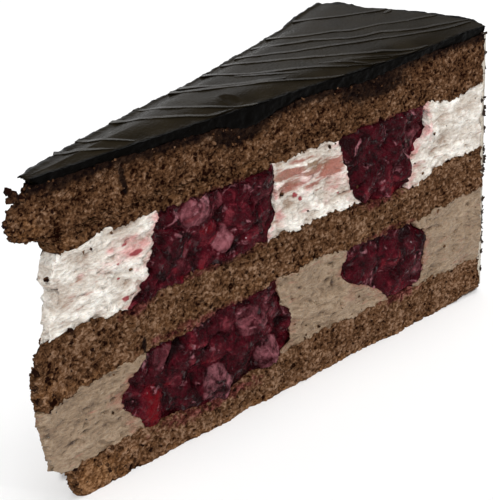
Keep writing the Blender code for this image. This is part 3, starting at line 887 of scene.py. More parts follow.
def ridge_shape(web, given):
    """Ridges along the paths that swell up out of the glaze, with beads."""
    line = web.add("GeometryNodeMeshToCurve", {"Mesh": given["Geometry"]})
    line = web.add("GeometryNodeCurveSplineType", {"Curve": line}, spline_type="CATMULL_ROM")
    line = web.add("GeometryNodeSetCurveNormal", {"Curve": line}, mode="Z_UP")
    sockets = {"Curve": line, "Length": given["Step"]}
    line = web.add("GeometryNodeResampleCurve", sockets, mode="LENGTH")
    place = web.place()
    wobble = web.noise(place, 4, 2) * 0.16 * MM
    shift = web.add("ShaderNodeCombineXYZ", {"X": wobble, "Y": wobble})
    line = web.add("GeometryNodeSetPosition", {"Geometry": line, "Offset": shift})
    size = (1 + web.noise(place, 1.7, 2) * given["Beads"]) * web.attribute("thick") * given["Width"]
    circle = web.add("GeometryNodeCurvePrimitiveCircle", {"Resolution": 14, "Radius": 1.0})
    parts = web.add("ShaderNodeSeparateXYZ", {0: web.add("GeometryNodeInputPosition")})
    across, up = parts, Value(web, parts.socket.node.outputs["Y"])
    upper = web.maths("GREATER_THAN", up, 0.01)
    swell = (0.5 + 0.5 * web.maths("COSINE", across * math.pi)) * given["Height"] + 0.03
    flat = web.add("ShaderNodeCombineXYZ", {"X": across, "Y": upper * swell - (1 - upper) * 0.3})
    sockets = {"Geometry": circle, "Position": flat}
    profile = web.add("GeometryNodeSetPosition", sockets)
    sockets = {"Curve": line, "Profile Curve": profile, "Scale": size, "Fill Caps": True}
    return web.add("GeometryNodeCurveToMesh", sockets)


def chip(web):
    """A small closed slab, one unit long and wide, whose points know their place on it."""
    sockets = {"Size": (1, 1, 1), "Vertices X": 7, "Vertices Y": 4, "Vertices Z": 2}
    slab = web.add("GeometryNodeMeshCube", sockets)
    place = web.add("GeometryNodeInputPosition")
    return web.stored(slab, "on_chip", place, "FLOAT_VECTOR")


def curled(web, made, given, out):
    """Curls and roughens realised chips."""
    made = web.add("GeometryNodeRealizeInstances", {"Geometry": made})
    on_chip = web.attribute("on_chip", "FLOAT_VECTOR")
    parts = web.add("ShaderNodeSeparateXYZ", {0: on_chip})
    along = parts
    across = Value(web, parts.socket.node.outputs["Y"])
    bow = along * along * 4 * given["Curl"] + across * across * 4 * given["Curl"] * 0.4
    lift = web.vector("SCALE", out, scale=bow)
    offset = web.vector("ADD", lift, web.shake(0.9, given["Ragged"]))
    return web.add("GeometryNodeSetPosition", {"Geometry": made, "Offset": offset})


def shaving_shape(web, given):
    """One curled shaving at each point, lying as the point says."""
    points = web.add("GeometryNodeMeshToPoints", {"Mesh": given["Geometry"]})
    out = web.attribute("out", "FLOAT_VECTOR")
    lie = web.attribute("lie", "FLOAT_VECTOR")
    sockets = {"Primary Axis": out, "Secondary Axis": lie}
    turn = web.add("FunctionNodeAxesToRotation", sockets, primary_axis="Z", secondary_axis="X")
    size = web.attribute("size", "FLOAT_VECTOR")
    sockets = {"Points": points, "Instance": chip(web), "Rotation": turn, "Scale": size}
    made = web.add("GeometryNodeInstanceOnPoints", sockets)
    return curled(web, made, given, out)


def strewn_points(web, given):
    """Points strewn over a surface, as close as its litter says."""
    sockets = {"Mesh": given["Geometry"], "Seed": given["Seed"]}
    sockets["Density"] = given["Density"] * web.attribute("litter")
    return web.add("GeometryNodeDistributePointsOnFaces", sockets)

def flake_shape(web, given):
    """Small flakes strewn over a surface, turned at random and flat on it."""
    points = strewn_points(web, given)
    nodes = points.socket.node.outputs
    points = web.stored(points, "out", Value(web, nodes["Normal"]), "FLOAT_VECTOR")
    seed = given["Seed"]
    spin = random_value(web, 0.0, 2 * math.pi, seed)
    tilt = random_value(web, -0.5, 0.5, seed + 1.0)
    euler = web.add("ShaderNodeCombineXYZ", {"X": tilt, "Z": spin})
    turn = web.add("FunctionNodeEulerToRotation", {0: euler})
    sockets = {"Rotation": Value(web, nodes["Rotation"]), "Rotate By": turn}
    turn = web.add("FunctionNodeRotateRotation", sockets, rotation_space="LOCAL")
    length = random_value(web, 0.35, 1.0, seed + 2.0) * given["Length"]
    width = random_value(web, 0.25, 0.55, seed + 3.0) * given["Length"]
    sockets = {"X": length, "Y": width, "Z": given["Thickness"]}
    size = web.add("ShaderNodeCombineXYZ", sockets)
    sockets = {"Points": points, "Instance": chip(web), "Rotation": turn, "Scale": size}
    made = web.add("GeometryNodeInstanceOnPoints", sockets)
    return curled(web, made, given, web.attribute("out", "FLOAT_VECTOR"))


def random_value(web, low, high, seed):
    """A random number for each point."""
    return web.add("FunctionNodeRandomValue", {2: low, 3: high, 8: seed}, 1)


def crumb_bits(web, points, size, seed):
    """An uneven crumb at each point."""
    sockets = {0: (-3.0, -3.0, -3.0), 1: (3.0, 3.0, 3.0), 8: seed}
    spin = web.add("FunctionNodeRandomValue", sockets, data_type="FLOAT_VECTOR")
    turn = web.add("FunctionNodeEulerToRotation", {0: spin})
    sockets = {0: (0.6, 0.6, 0.6), 1: (1.3, 1.0, 1.0), 8: seed + 2.0}
    shape = web.add("FunctionNodeRandomValue", sockets, data_type="FLOAT_VECTOR")
    scale = web.vector("SCALE", shape, scale=size)
    ball = web.add("GeometryNodeMeshIcoSphere", {"Radius": 0.5, "Subdivisions": 2})
    sockets = {"Points": points, "Instance": ball, "Rotation": turn, "Scale": scale}
    made = web.add("GeometryNodeInstanceOnPoints", sockets)
    made = web.add("GeometryNodeRealizeInstances", {"Geometry": made})
    sockets = {"Geometry": made, "Offset": web.shake(2.2, CRUMB_RAGGED)}
    return web.add("GeometryNodeSetPosition", sockets)


def crumb_shape(web, given):
    """Loose crumbs strewn over a surface, half sunk into it."""
    points = strewn_points(web, given)
    share = random_value(web, 0.0, 1.0, given["Seed"] + 1.0)
    return crumb_bits(web, points, (0.35 + share * share * 0.9) * given["Size"], given["Seed"])


def placed_crumb_shape(web, given):
    """A crumb at each of the given points, of the point's own size."""
    points = web.add("GeometryNodeMeshToPoints", {"Mesh": given["Geometry"]})
    return crumb_bits(web, points, web.attribute("size") * MM, given["Seed"])


# ---------------------------------------------------------------- finishes


def finish_of(name, paint, *inputs):
    """The material of that name. Its nodes are painted when it is first asked for."""
    if name not in bpy.data.materials:
        material = bpy.data.materials.new(name)
        material.use_nodes = True
        material.node_tree.nodes.clear()
        paint(Web(material.node_tree), *inputs)
    return bpy.data.materials[name]

def shade(web, sockets, bump=None, depth=0.15):
    """The shader, with a bump of a depth in millimetres, and the material's output."""
    if bump is not None:
        heights = {"Height": bump, "Distance": depth * MM, "Strength": 1.0}
        sockets["Normal"] = web.add("ShaderNodeBump", heights)
    shader = web.add("ShaderNodeBsdfPrincipled", sockets)
    web.add("ShaderNodeOutputMaterial", {"Surface": shader})


def sponge_finish(web, colors):
    """Chocolate sponge: brown crumb, painted shade in its pores and painted light on its crests,
    which follow the relief, and toasted, soaked and juicy places.
    """
    place = web.place()
    relief = web.attribute("relief")
    grain = web.noise(place, 0.62, 2, 0.6)
    patches = web.noise(place, 6, 2)
    lot = web.lot(place, 0.55)
    fibres = web.noise(web.vector("MULTIPLY", place, (0.45, 0.6, 1)), 0.5, 2, 0.6)
    # Painted shade and painted light: the relief darkens the pores and lightens the crests in every
    # ramp below
    tone = 0.43 + relief * 1.1 + grain * 0.24 + fibres * 0.24 + patches * 0.1 + (lot - 0.5) * 0.45
    tone = tone + (web.attribute("bake") - 0.5) * 0.24
    dark, middle, light = colors.sponge_dark, colors.sponge, colors.sponge_light
    color = web.ramp(tone, (0.0, dark), (0.5, middle), (1.0, light))
    ragged = web.noise(place, 1.6, 2) * 0.35
    toast = web.between(web.attribute("toast") + ragged, 0.15, 0.9, 0, 0.75)
    toasted = web.ramp(tone, (0.0, dark), (0.5, colors.toast), (1.0, colors.toast_light))
    color = web.tint(toast, color, toasted)
    juice = web.between(web.attribute("juice") + ragged, 0.25, 0.8, 0, 0.8)
    juicy = web.ramp(tone, *JUICY_CRUMB)
    color = web.tint(juice, color, juicy)
    soak = web.between(web.attribute("soak") + ragged * 0.7, 0.2, 0.9, 0, 0.92)
    color = web.tint(soak, color, web.ramp(tone, (0.0, (0.003, 0.001, 0.001)), (1.0, colors.soak)))
    rough = 0.85 - soak * 0.3 - juice * 0.3
    sockets = {"Base Color": color, "Roughness": rough, "Specular IOR Level": 0.03}
    shade(web, sockets, grain + relief * 0.4, 0.14)


def cream_finish(web, high, middle, low, blush_color, stain_color, colors):
    """Cream with painted light on its crests and painted shade in its pits, which follow the
    relief, stained by juice beside the cherries.
    """
    place = web.place()
    dragged = web.vector("MULTIPLY", place, (0.4, 0.7, 1))
    relief = web.attribute("relief")
    fine = web.noise(dragged, 0.5, 2, 0.6)
    clouds = web.noise(dragged, 4.5, 2)
    # Painted shade and painted light: the relief darkens the pits and lightens the crests
    tone = 0.5 + relief * 0.7 + fine * 0.26 + clouds * 0.12
    color = web.ramp(tone, (0.0, low), (0.5, middle), (1.0, high))
    ragged = web.noise(dragged, 1.3, 3, 0.6) * 0.45
    blush = web.between(web.attribute("blush") + ragged, 0.15, 1.1, 0, 0.9)
    color = web.tint(blush, color, blush_color, "MULTIPLY")
    streaks = web.noise(web.vector("MULTIPLY", place, (0.2, 0.4, 1.15)), 1.1, 3, 0.6) * 0.5
    smear = web.between(web.attribute("smear") + streaks, 0.12, 0.66, 0, 0.95)
    dirt = web.tint(web.between(clouds, -0.5, 0.3), (0.2, 0.12, 0.065), colors.smear)
    color = web.tint(smear, color, dirt)
    stain = web.between(web.attribute("stain") + ragged * 0.7, 0.4, 0.75, 0, 0.95)
    color = web.tint(stain, color, stain_color)
    # Painted shade: the clefts sunk into the cream are painted near-black
    cleft = web.between(web.attribute("cleft") + ragged * 0.8, 0.5, 0.95, 0, 0.85)
    color = web.tint(cleft, color, (0.03, 0.015, 0.01))
    dust = web.spots(place, 2.3, 0.12, 0.06, 0.6, 0.8)
    color = web.tint(dust * web.attribute("dusty"), color, colors.sponge_dark)
    rough = web.between(web.noise(place, 1.1, 1), -0.2, 0.8, 0.5, 0.22)
    sockets = {"Base Color": color, "Roughness": rough - stain * 0.1, "Specular IOR Level": 0.45}
    sockets |= {"Subsurface Weight": 0.12, "Subsurface Scale": 0.8 * MM}
    sockets["Subsurface Radius"] = (1.0, 0.7, 0.5)
    shade(web, sockets, fine, 0.12)


def cherry_finish(web, colors):
    """Wet dark red cherries: paler marbled flesh, bright juice, pale clouds that are partly flesh
    and partly a painted sheen, and painted near-black shade in the hollows.
    """
    place = web.place()
    relief = web.attribute("relief")
    round_share = web.attribute("round")
    marbling = web.noise(place, 3.6, 3, 0.55, 0.8)
    fine = web.noise(place, 0.7, 2, 0.6)
    tone = web.attribute("tone") * 0.5 + marbling * 0.42 + fine * 0.12 + round_share * 0.14 - 0.03
    stops = (0.0, colors.cherry_dark), (0.4, colors.cherry), (0.9, colors.cherry_light)
    color = web.ramp(tone, *stops)
    bright = web.between(web.attribute("bright") + marbling * 0.4, 0.25, 0.9, 0, 0.85)
    color = web.tint(bright, color, colors.juice)
    veil = web.attribute("pale") * (0.44 + marbling * 0.5 + fine * 0.12)
    # Pale clouds: partly the cherries' cloudy flesh, partly a painted sheen in place of highlights
    clouds = web.between(web.noise(place, 3.3, 3, 0.6, 0.5), 0.2, 1.1)
    pale = web.between(web.maths("MAXIMUM", veil, clouds), 0.1, 1.0, 0, 0.9)
    color = web.tint(pale, color, colors.flesh)
    # Painted shade: the hollows between the cherries are painted near-black
    hollow = web.between(relief, -0.4, -1.2, 0, 0.9)
    color = web.tint(hollow, color, colors.cherry_hollow)
    rough = web.between(web.noise(place, 1.6, 2), -0.5, 0.8, 0.1, 0.24)
    sockets = {"Base Color": color, "Roughness": rough + hollow * 0.2, "Specular IOR Level": 0.05}
    sockets["Coat Weight"] = web.between(web.noise(place, 1.5, 2), 0.4, 0.7, 0, 0.42) * (1 - hollow)
    sockets["Coat Roughness"] = 0.08
    shade(web, sockets, fine + marbling, 0.16)


def glaze_finish(web, gloss, colors):
    """Dark chocolate glaze: semi-gloss, with faint cloudy bloom, small pits, and painted shade that
    makes it near-black by its cut faces and rim.
    """
    place = web.place()
    clouds = web.noise(place, 7, 3)
    fine = web.noise(place, 0.6, 2)
    pits = web.spots(place, 1.4, 0.16, 0.06, 0.75, 0.9)
    color = web.tint(web.between(clouds, -0.8, 0.9), colors.glaze, colors.glaze_bloom)
    # Painted shade: by its cut faces and rim the glaze is painted near-black
    edge = web.attribute("edge")
    color = web.tint(web.between(edge, 0.25, 0.7), color, (0.0008, 0.0005, 0.0003))
    rough = 0.24 + clouds * 0.04 + edge * 0.1
    sockets = {"Base Color": color, "Roughness": rough, "IOR": gloss}
    shade(web, sockets, fine * 0.3 - pits, 0.08)


def chocolate_finish(web, colors):
    """Broken dark chocolate: satin, with paler scraped places."""
    place = web.place()
    scrapes = web.noise(web.vector("MULTIPLY", place, (1, 1, 0.3)), 0.8, 2, 0.6)
    clouds = web.noise(place, 3, 2)
    tone = 0.45 + scrapes * 0.2 + clouds * 0.15
    color = web.ramp(tone, (0.0, colors.glaze), (1.0, colors.shaving))
    sockets = {"Base Color": color, "Roughness": 0.42 + scrapes * 0.08, "Specular IOR Level": 0.15}
    shade(web, sockets, scrapes, 0.06)


def loose_crumb_finish(web, light, colors):
    """Crumbs of the sponge: brown, each a little different."""
    place = web.place()
    tone = light + (web.lot(place, 1.1) - 0.5) * 0.7 + web.noise(place, 0.4, 2) * 0.15
    dark, middle, light = colors.sponge_dark, colors.sponge, colors.sponge_light
    color = web.ramp(tone, (0.0, dark), (0.45, middle), (1.0, light))
    sockets = {"Base Color": color, "Roughness": 0.85, "Specular IOR Level": 0.06}
    shade(web, sockets, web.noise(place, 0.3, 2), 0.08)


def coat_finish(web, colors):
    """The thin coat of cream on the rim, with painted shade in its pits, which follows the relief,
    and chocolate dust rubbed into it.
    """
    place = web.place()
    relief = web.attribute("relief")
    fine = web.noise(place, 0.6, 2)
    # Painted shade: the relief darkens the coat's pits
    tone = 0.6 + relief * 0.8 + fine * 0.12 + web.noise(place, 6, 2) * 0.15
    color = web.ramp(tone, (0.0, colors.coat_low), (0.8, colors.coat))
    dust = web.between(web.noise(place, 1.3, 3, 0.65), 0.25, 0.6, 0, 0.85)
    color = web.tint(dust, color, colors.shaving)
    sockets = {"Base Color": color, "Roughness": 0.55 + fine * 0.05}
    shade(web, sockets, fine, 0.1)


def floor_finish(web, colors):
    """Plain pale card, with a trace of unevenness."""
    cloud = web.noise(web.place(), 400, 1)
    darker = [part * 0.99 for part in colors.floor]
    color = web.tint(web.between(cloud, -1, 1), colors.floor, darker)
    shade(web, {"Base Color": color, "Roughness": 0.9, "Specular IOR Level": 0.1})


# ---------------------------------------------------------------- the slice's pieces


def finished(thing, slot, *nodes):
    """Puts the piece on the root and hides the parts of the model that it stands for. The slot is
    not used.
    """
    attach(thing, "root")
    if nodes:
        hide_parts(*nodes)
    return thing


def cut_room(skin, thin=2.6):
    """How freely the relief may move a cut face, less where the tip is thin."""
    return np.minimum(1, half_width(skin.radius) / (thin * MM))


def open_cuts(skin, tip):
    """Opens the cut faces, and the tip's face if there is one, to the relief."""
    ways = skin.cut_ways()
    at_tip = (skin.along == 0) & tip
    ways[:, 0] -= at_tip * 1.0
    skin.open_to(ways, cut_room(skin))


def shift_of(name):
    """A shift that gives every piece its own part of the patterns."""
    seed = sum(map(ord, name))
    return (7.3 * (seed % 13), 3.1 * (seed % 7), 5.7 * (seed % 11))


def near(distance, reach):
    """1 at a border and fading away from it over a reach in millimetres."""
    return np.exp(-np.maximum(distance, 0) / (reach * MM))


def make_sponge(name, sizes, colors, levels, foot, top):
    """One layer of chocolate sponge."""
    node = f"{name}_sponge"
    low, high = levels[foot], levels[top]
    edges = upright(f"{node} tip", SPONGE_TIPS[name]), layer_rim
    skin = layer_skin(edges, (low, high), SPONGE_CRAGS, node, sizes.step)
    open_cuts(skin, True)
    marks = SPONGE_MARKS[name]
    for label in ("soak", "juice", "toast"):
        skin.values[label] = skin.marked(marks[label])
    skin.values["bake"] = np.full(len(skin.radius), SPONGE_BAKE[name])
    if name == "top":
        under_glaze = near(high(skin.radius, skin.side) - skin.height, 2)
        skin.values["soak"] = np.maximum(skin.values["soak"], 1.4 * under_glaze)
    litter = np.maximum(skin.cut * 1.0, (skin.along == 0) * 5.0)
    skin.values["litter"] = litter * (skin.height > 1.5 * MM)
    thing = skin.build(f"sponge_{name}")
    inputs = {"Shift": (0.0, 0.0, 0.0), "Lumps": 0.2, "Crumbs": 0.6, "Grain": 0.22, "Pores": 0.8}
    tree = shape_tree("Crumb relief", inputs, crumb_relief)
    material = finish_of("sponge_crumb", sponge_finish, colors)
    relief = {"crumbs": sizes.crumb_height / MM, "pores": sizes.pore_depth / MM}
    shaped(thing, tree, material=material, shift=shift_of(node), **relief)
    return finished(thing, "sponge", node)


def band_borders(band):
    """The tip, the four borders of the cherry rings and the rim of a band of cream."""
    tip = upright(f"{band} tip", CREAM_TIPS[band])
    rings = [upright(f"{band} border {i}", knots) for i, knots in enumerate(BORDERS[band])]
    return [tip, *rings, layer_rim]


def make_cream(band, part, sizes, colors, levels):
    """One piece of a band's cream, between its tip or a cherry ring and the next."""
    number = {"tip": 0, "middle": 2, "rim": 4}[part]
    borders = band_borders(band)
    start, end = borders[number], borders[number + 1]
    low, high = shifted(levels[f"{band} foot"], -OVERLAP), shifted(levels[f"{band} top"], OVERLAP)
    node = f"{part}_cream_{band}"
    edges = start, shifted(end, OVERLAP if part != "rim" else 0)
    skin = layer_skin(edges, (low, high), CREAM_DRAGS, node, sizes.step)
    open_cuts(skin, part == "tip")
    marks = CREAM_MARKS[band]
    for label in ("blush", "stain", "smear", "cleft"):
        skin.values[label] = skin.marked(marks[label])
    halo = np.zeros(len(skin.radius))
    if part != "tip":
        halo = near(skin.radius - start(skin.side, skin.up), 1.7)
    if part != "rim":
        halo = np.maximum(halo, near(end(skin.side, skin.up) - skin.radius, 1.7))
    bleed = 0.55 + uneven(skin.radius, skin.side, skin.height, (0.9, 3.2 * MM), f"{node} juice")
    skin.values["blush"] = np.maximum(skin.values["blush"], halo * np.clip(bleed, 0.15, 1))
    above = high(skin.radius, skin.side) - skin.height
    edge = np.minimum(above, skin.height - low(skin.radius, skin.side))
    skin.values["litter"] = skin.cut * (0.05 + near(edge, 0.8))
    dusty = 0.9 if part == "rim" or band == "chocolate" else 0.3
    skin.values["dusty"] = np.full(len(skin.radius), dusty)
    thing = skin.build(f"{band}_cream_{part}")
    inputs = {"Shift": (0.0, 0.0, 0.0), "Drags": 0.22, "Swells": 0.3, "Curds": 0.3}
    tree = shape_tree("Cream relief", inputs | {"Pits": 0.55, "Bubbles": 0.3}, cream_relief)
    relief = dict(CREAM_RELIEF[band])
    if part == "rim":
        relief["drags"] *= RIM_DRAGS
    looks = [getattr(colors, f"{band}_cream{tail}") for tail in ("_high", "", "_low")]
    name = f"{band}_dragged_cream"
    material = finish_of(name, cream_finish, *looks, *CREAM_JUICE[band], colors)
    shaped(thing, tree, material=material, shift=shift_of(node), **relief)
    return finished(thing, f"{band}_cream", node)


def back_cherries(draw, start, end):
    """Cherries that the back cut opens, in a jittered grid between two radii."""
    columns = max(3, round((end - start) / 7))
    cherries = []
    for row in range(3):
        for i in range(columns + 1):
            x = start + (end - start) * (i + 0.5 * (row % 2)) / columns + draw.uniform(-1.2, 1.2)
            size = draw.uniform(3, 4.6), draw.uniform(2.8, 3.8)
            rise = draw.uniform(0.8, 1.6)
            pale = draw.choice((0, 0, 0.1, 0.3, 0.7))
            y = row * 6.6 + draw.uniform(-1, 1)
            looks = draw.uniform(-30, 30), rise, draw.uniform(0.1, 0.7), pale
            cherries.append((x, y, *size, *looks))
    return cherries


def cherry_values(skin, cherries, hollows, bright, part):
    """Sets the rise, roundness, tone and paleness of the cherries at a cut's points."""
    place = skin.radius, skin.side, skin.height
    radius = (skin.radius + uneven(*place, CHERRY_WARP, "warp along"))[part] / MM
    height = (skin.height + uneven(*place, CHERRY_WARP, "warp up"))[part] / MM
    rise = np.full(radius.shape, -0.2)
    values = {label: np.zeros(radius.shape) for label in ("round", "tone", "pale")}
    values["tone"] += 0.4
    for x, y, length, tall, tilt, top, tone, pale in cherries:
        turn = math.radians(tilt)
        along = (radius - x) * math.cos(turn) + (height - y) * math.sin(turn)
        up = (height - y) * math.cos(turn) - (radius - x) * math.sin(turn)
        roundness = np.sqrt(np.clip(1 - (along / length) ** 2 - (up / tall) ** 2, 0, 1))
        higher = (roundness > 0) & (0.8 * top * roundness - 0.35 > rise)
        rise = np.where(higher, 0.8 * top * roundness - 0.35, rise)
        soft = np.minimum(1, roundness * 1.7)
        own = {"round": roundness, "tone": 0.3 + (tone - 0.3) * soft, "pale": pale * soft}
        for label, value in own.items():
            values[label] = np.where(higher, value, values[label])
    for x, y, length, tall, depth in hollows:
        rise -= depth * np.exp(-(((radius - x) / length) ** 2) - ((height - y) / tall) ** 2)
    values["rise"] = rise
    values["bright"] = covered(radius, height, bright)
    for label, value in values.items():
        skin.values.setdefault(label, np.zeros(len(skin.radius)))[part] = value


def make_cherries(band, ring, sizes, colors, levels):
    """One ring of cherries in their jelly."""
    number = {"inner": 1, "outer": 3}[ring]
    start, end = band_borders(band)[number:number + 2]
    low, high = levels[f"{band} foot"], levels[f"{band} top"]
    node = f"{ring}_cherries_{band}"
    skin = layer_skin((start, end), (low, high), CHERRY_LUMPS, node, sizes.step)
    open_cuts(skin, False)
    key = f"{ring}_{band}"
    cherry_values(skin, CHERRIES[key], HOLLOWS[key], BRIGHT[key], skin.side <= 0)
    draw = random.Random(sum(map(ord, key)))
    ends = [BORDERS[band][number - 1][0][1], BORDERS[band][number][0][1]]
    floor = {"white": 41, "chocolate": 12}[band]
    cherries = [(x, y + floor, *rest) for x, y, *rest in back_cherries(draw, *ends)]
    hollows = [(draw.uniform(*ends), floor + draw.uniform(0, 14), 2, 1, 1.1) for _ in range(4)]
    bright = [(draw.uniform(*ends), floor + draw.uniform(0, 14), 3, 2, 0.8) for _ in range(2)]
    cherry_values(skin, cherries, hollows, bright, skin.side > 0)
    thing = skin.build(f"cherries_{ring}_{band}")
    inputs = {"Shift": (0.0, 0.0, 0.0), "Flesh": 0.36, "Folds": 0.34, "Fine": 0.06}
    tree = shape_tree("Cherry relief", inputs, cherry_relief)
    material = finish_of("wet_cherries", cherry_finish, colors)
    shaped(thing, tree, material=material, shift=shift_of(node))
    return finished(thing, "cherries", node)


POUR = {"Shift": (0.0, 0.0, 0.0), "Waves": 0.07, "Edge Lumps": 0.25, "Fine": 0.012}


def make_glaze(colors, levels):
    """The poured glaze with its rolled edges."""
    tip = upright("glaze tip", GLAZE_TIP, 0.5)
    rim = upright("glaze rim", GLAZE_RIM, 0.3)
    foot = levels["glaze foot"]

    def point(along, side, up):
        first = tip(side, up)
        last = rim(side, up) + uneven(0, side, 0, GLAZE_RIM_WAVES, "glaze rim waves")
        last = last + eased(GLAZE_RIM_SWAY, side) * MM
        radius = first + (last - first) * along
        low = foot(radius, side) - OVERLAP
        height = low + (glaze_top(radius, side) - low) * up
        places = spot(radius, side, height)
        room = np.minimum(1, half_width(radius) / (THIN_TIP * GLAZE_WAVES[0]))
        rough = uneven(radius, side, height, GLAZE_WAVES, "glaze")
        places[:, 1] += np.where(abs(side) == 1, side * room * rough, 0)
        return radius, places

    sides = np.sin(np.linspace(-math.pi / 2, math.pi / 2, GLAZE_SIDES))
    sides[[0, -1]] = -1, 1
    skin = Skin(steps(GLAZE_LENGTH, GLAZE_STEP), sides, np.linspace(0, 1, GLAZE_UPS), point)
    ways = skin.cut_ways() + np.array((0, 0, 1)) * (skin.up == 1)[:, None]
    ways[:, 0] += (skin.along == 1) * 1.0 - (skin.along == 0) * 1.0
    skin.open_to(ways, cut_room(skin, 1.8))
    inwards = (1 - abs(skin.side)) * half_width(skin.radius)
    inwards = np.minimum(inwards, GLAZE_RIM[1][1] * MM - skin.radius)
    skin.values["edge"] = near(inwards, 0.9)
    x, y, length, wide = DENT
    along = (skin.points[:, 0] - CAKE_CENTRE_X) / MM - x
    across = (skin.points[:, 1] / MM - y) * length / wide
    away = np.hypot(along, across) / length
    hollow = DENT_DEPTH * np.exp(-(away**4))
    lip = DENT_LIP * np.exp(-(((away - 1.2) / 0.3) ** 2))
    skin.values["dent"] = (skin.up == 1) * (hollow - lip)
    thing = skin.build("poured_glaze")
    tree = shape_tree("Pour relief", POUR, pour_relief)
    material = finish_of("chocolate_glaze", glaze_finish, GLAZE_GLOSS, colors)
    shaped(thing, tree, material=material)
    return finished(thing, "glaze", "glaze")


def on_glaze(x, y):
    """The point of the glaze's top at this place in millimetres, kept between the cuts."""
    radius = math.hypot(x, y) * MM
    side = min(1.0, max(-0.97, math.atan2(y, x) / HALF_ANGLE))
    return spot(radius, side, glaze_top(radius, side)).tolist()


def make_drizzle(sizes, colors):
    """The thin slanting ridges of drizzle on the glaze."""
    draw = random.Random(8)
    points, edges, thick = [], [], []
    for group, start in ((DRIZZLE, 1.5), (SHORT_DRIZZLE, 0.4)):
        for path in group:
            edges += [(len(points) + i, len(points) + i + 1) for i in range(len(path) - 1)]
            points += [on_glaze(x, y) for x, y in path]
            thick += [start, *(draw.uniform(0.8, 1.15) for _ in path[2:]), 0.5]
    thing = grown("drizzle_ridges", points, edges, thick=thick)
    inputs = {"Width": 0.64 * MM, "Height": 0.46, "Beads": 0.12, "Step": 0.5 * MM}
    tree = shape_tree("Drizzle ridges", inputs, ridge_shape)
    material = finish_of("drizzled_chocolate", glaze_finish, DRIZZLE_GLOSS, colors)
    shaped(thing, tree, material=material, width=sizes.ridge_width)
    return finished(thing, "glaze")


def make_coat(colors, levels):
    """The thin coat of cream on the cake's rim."""
    top = levels["glaze foot"]

    def point(along, side, up):
        wave = uneven(0, side, up * GLAZE_TOP, COAT_WAVES, "side_coat")
        radius = COAT_START + (COAT_END + wave - COAT_START) * along
        low = underside(radius, side) + COAT_LIFT
        places = spot(radius, side, low + (top(radius, side) - low) * up)
        return radius, places

    skin = Skin((0, 1), np.linspace(-1, 1, COAT_SIDES), steps(COAT_HEIGHT, COAT_STEP), point)
    turn = skin.side * HALF_ANGLE
    outer = skin.along == 1
    ways = np.stack((np.cos(turn), np.sin(turn), 0 * turn), -1) * outer[:, None]
    skin.open_to(ways + skin.cut_ways(), np.where(outer | skin.cut, 1.0, 0.0))
    skin.values["edge"] = np.ones(len(turn))
    skin.values["litter"] = outer * 1.0
    thing = skin.build("rim_coat")
    tree = shape_tree("Pour relief", POUR, pour_relief)
    material = finish_of("coat_cream", coat_finish, colors)
    shaped(thing, tree, material=material, waves=0.05, edge_lumps=0.12, fine=0.05)
    return finished(thing, "white_cream", "side_coat")


def make_shavings(colors):
    """The long shavings, spread over the coat in rows that are each shifted by half a step."""
    draw = random.Random(SHAVING_SEED)
    reach = HALF_ANGLE - SHAVING_MARGIN / COAT_END
    low = COAT_LIFT + SHAVING_MARGIN
    high = GLAZE_FOOT[-1][1] * MM - SHAVING_MARGIN
    points, outs, lies, shapes = [], [], [], []
    for row in range(SHAVING_ROWS):
        for i in range(SHAVINGS_A_ROW - row % 2):
            share = (i + 0.5 * (row % 2)) / (SHAVINGS_A_ROW - 1)
            turn = reach * (2 * share - 1) + draw.uniform(-1, 1) * SHAVING_JITTER / COAT_END
            height = low + (high - low) * row / (SHAVING_ROWS - 1)
            height += draw.uniform(-1, 1) * SHAVING_JITTER / 2
            lean = draw.uniform(0, math.pi)
            size = draw.uniform(*SHAVING_LENGTH), draw.uniform(*SHAVING_WIDTH)
            out = Vector((math.cos(turn), math.sin(turn), 0))
            flat = math.cos(lean)
            along = Vector((-math.sin(turn) * flat, math.cos(turn) * flat, math.sin(lean)))
            tilt = SHAVING_TILT * math.sin(3 * len(points))
            away = COAT_END + SHAVING_STAND + 0.25 * MM
            points.append(Vector((CAKE_CENTRE_X, 0, height)) + out * away)
            outs.append(out - along * tilt)
            lies.append(along + out * tilt)
            shapes.append((*size, 0.55 * MM))
    thing = grown("coat_shavings", points, out=outs, lie=lies, size=shapes)
    tree = shape_tree("Shavings", {"Curl": -0.5 * MM, "Ragged": 1.1 * MM}, shaving_shape)
    material = finish_of("shaved_chocolate", chocolate_finish, colors)
    shaped(thing, tree, material=material)
    return finished(thing, "glaze", "side_coat")


def make_flakes(sizes, colors):
    """Small flakes of chocolate between the long shavings."""
    thing = placed("coat_flakes", bpy.data.objects["rim_coat"].data.copy())
    inputs = {"Density": 1.0, "Seed": 3, "Length": 2.1 * MM, "Thickness": 0.22 * MM}
    inputs |= {"Curl": 0.2 * MM, "Ragged": 0.7 * MM}
    tree = shape_tree("Flakes", inputs, flake_shape)
    material = finish_of("shaved_chocolate", chocolate_finish, colors)
    shaped(thing, tree, material=material, density=sizes.flake_density)
    return finished(thing, "glaze")


def strewn(sources, name):
    """One object with copies of these pieces' meshes joined, to strew crumbs over."""
    points, faces, litter = [], [], []
    for source in sources:
        mesh = bpy.data.objects[source].data
        start = sum(map(len, points))
        places = np.empty(len(mesh.vertices) * 3)
        mesh.vertices.foreach_get("co", places)
        points.append(places.reshape(-1, 3))
        corners = np.empty(len(mesh.polygons) * 4, int)
        mesh.polygons.foreach_get("vertices", corners)
        faces.append(corners.reshape(-1, 4) + start)
        values = np.empty(len(mesh.vertices))
        mesh.attributes["litter"].data.foreach_get("value", values)
        litter.append(values)
    points, faces, litter = (np.concatenate(parts) for parts in (points, faces, litter))
    return grown(name, points.tolist(), faces=faces.tolist(), litter=litter)

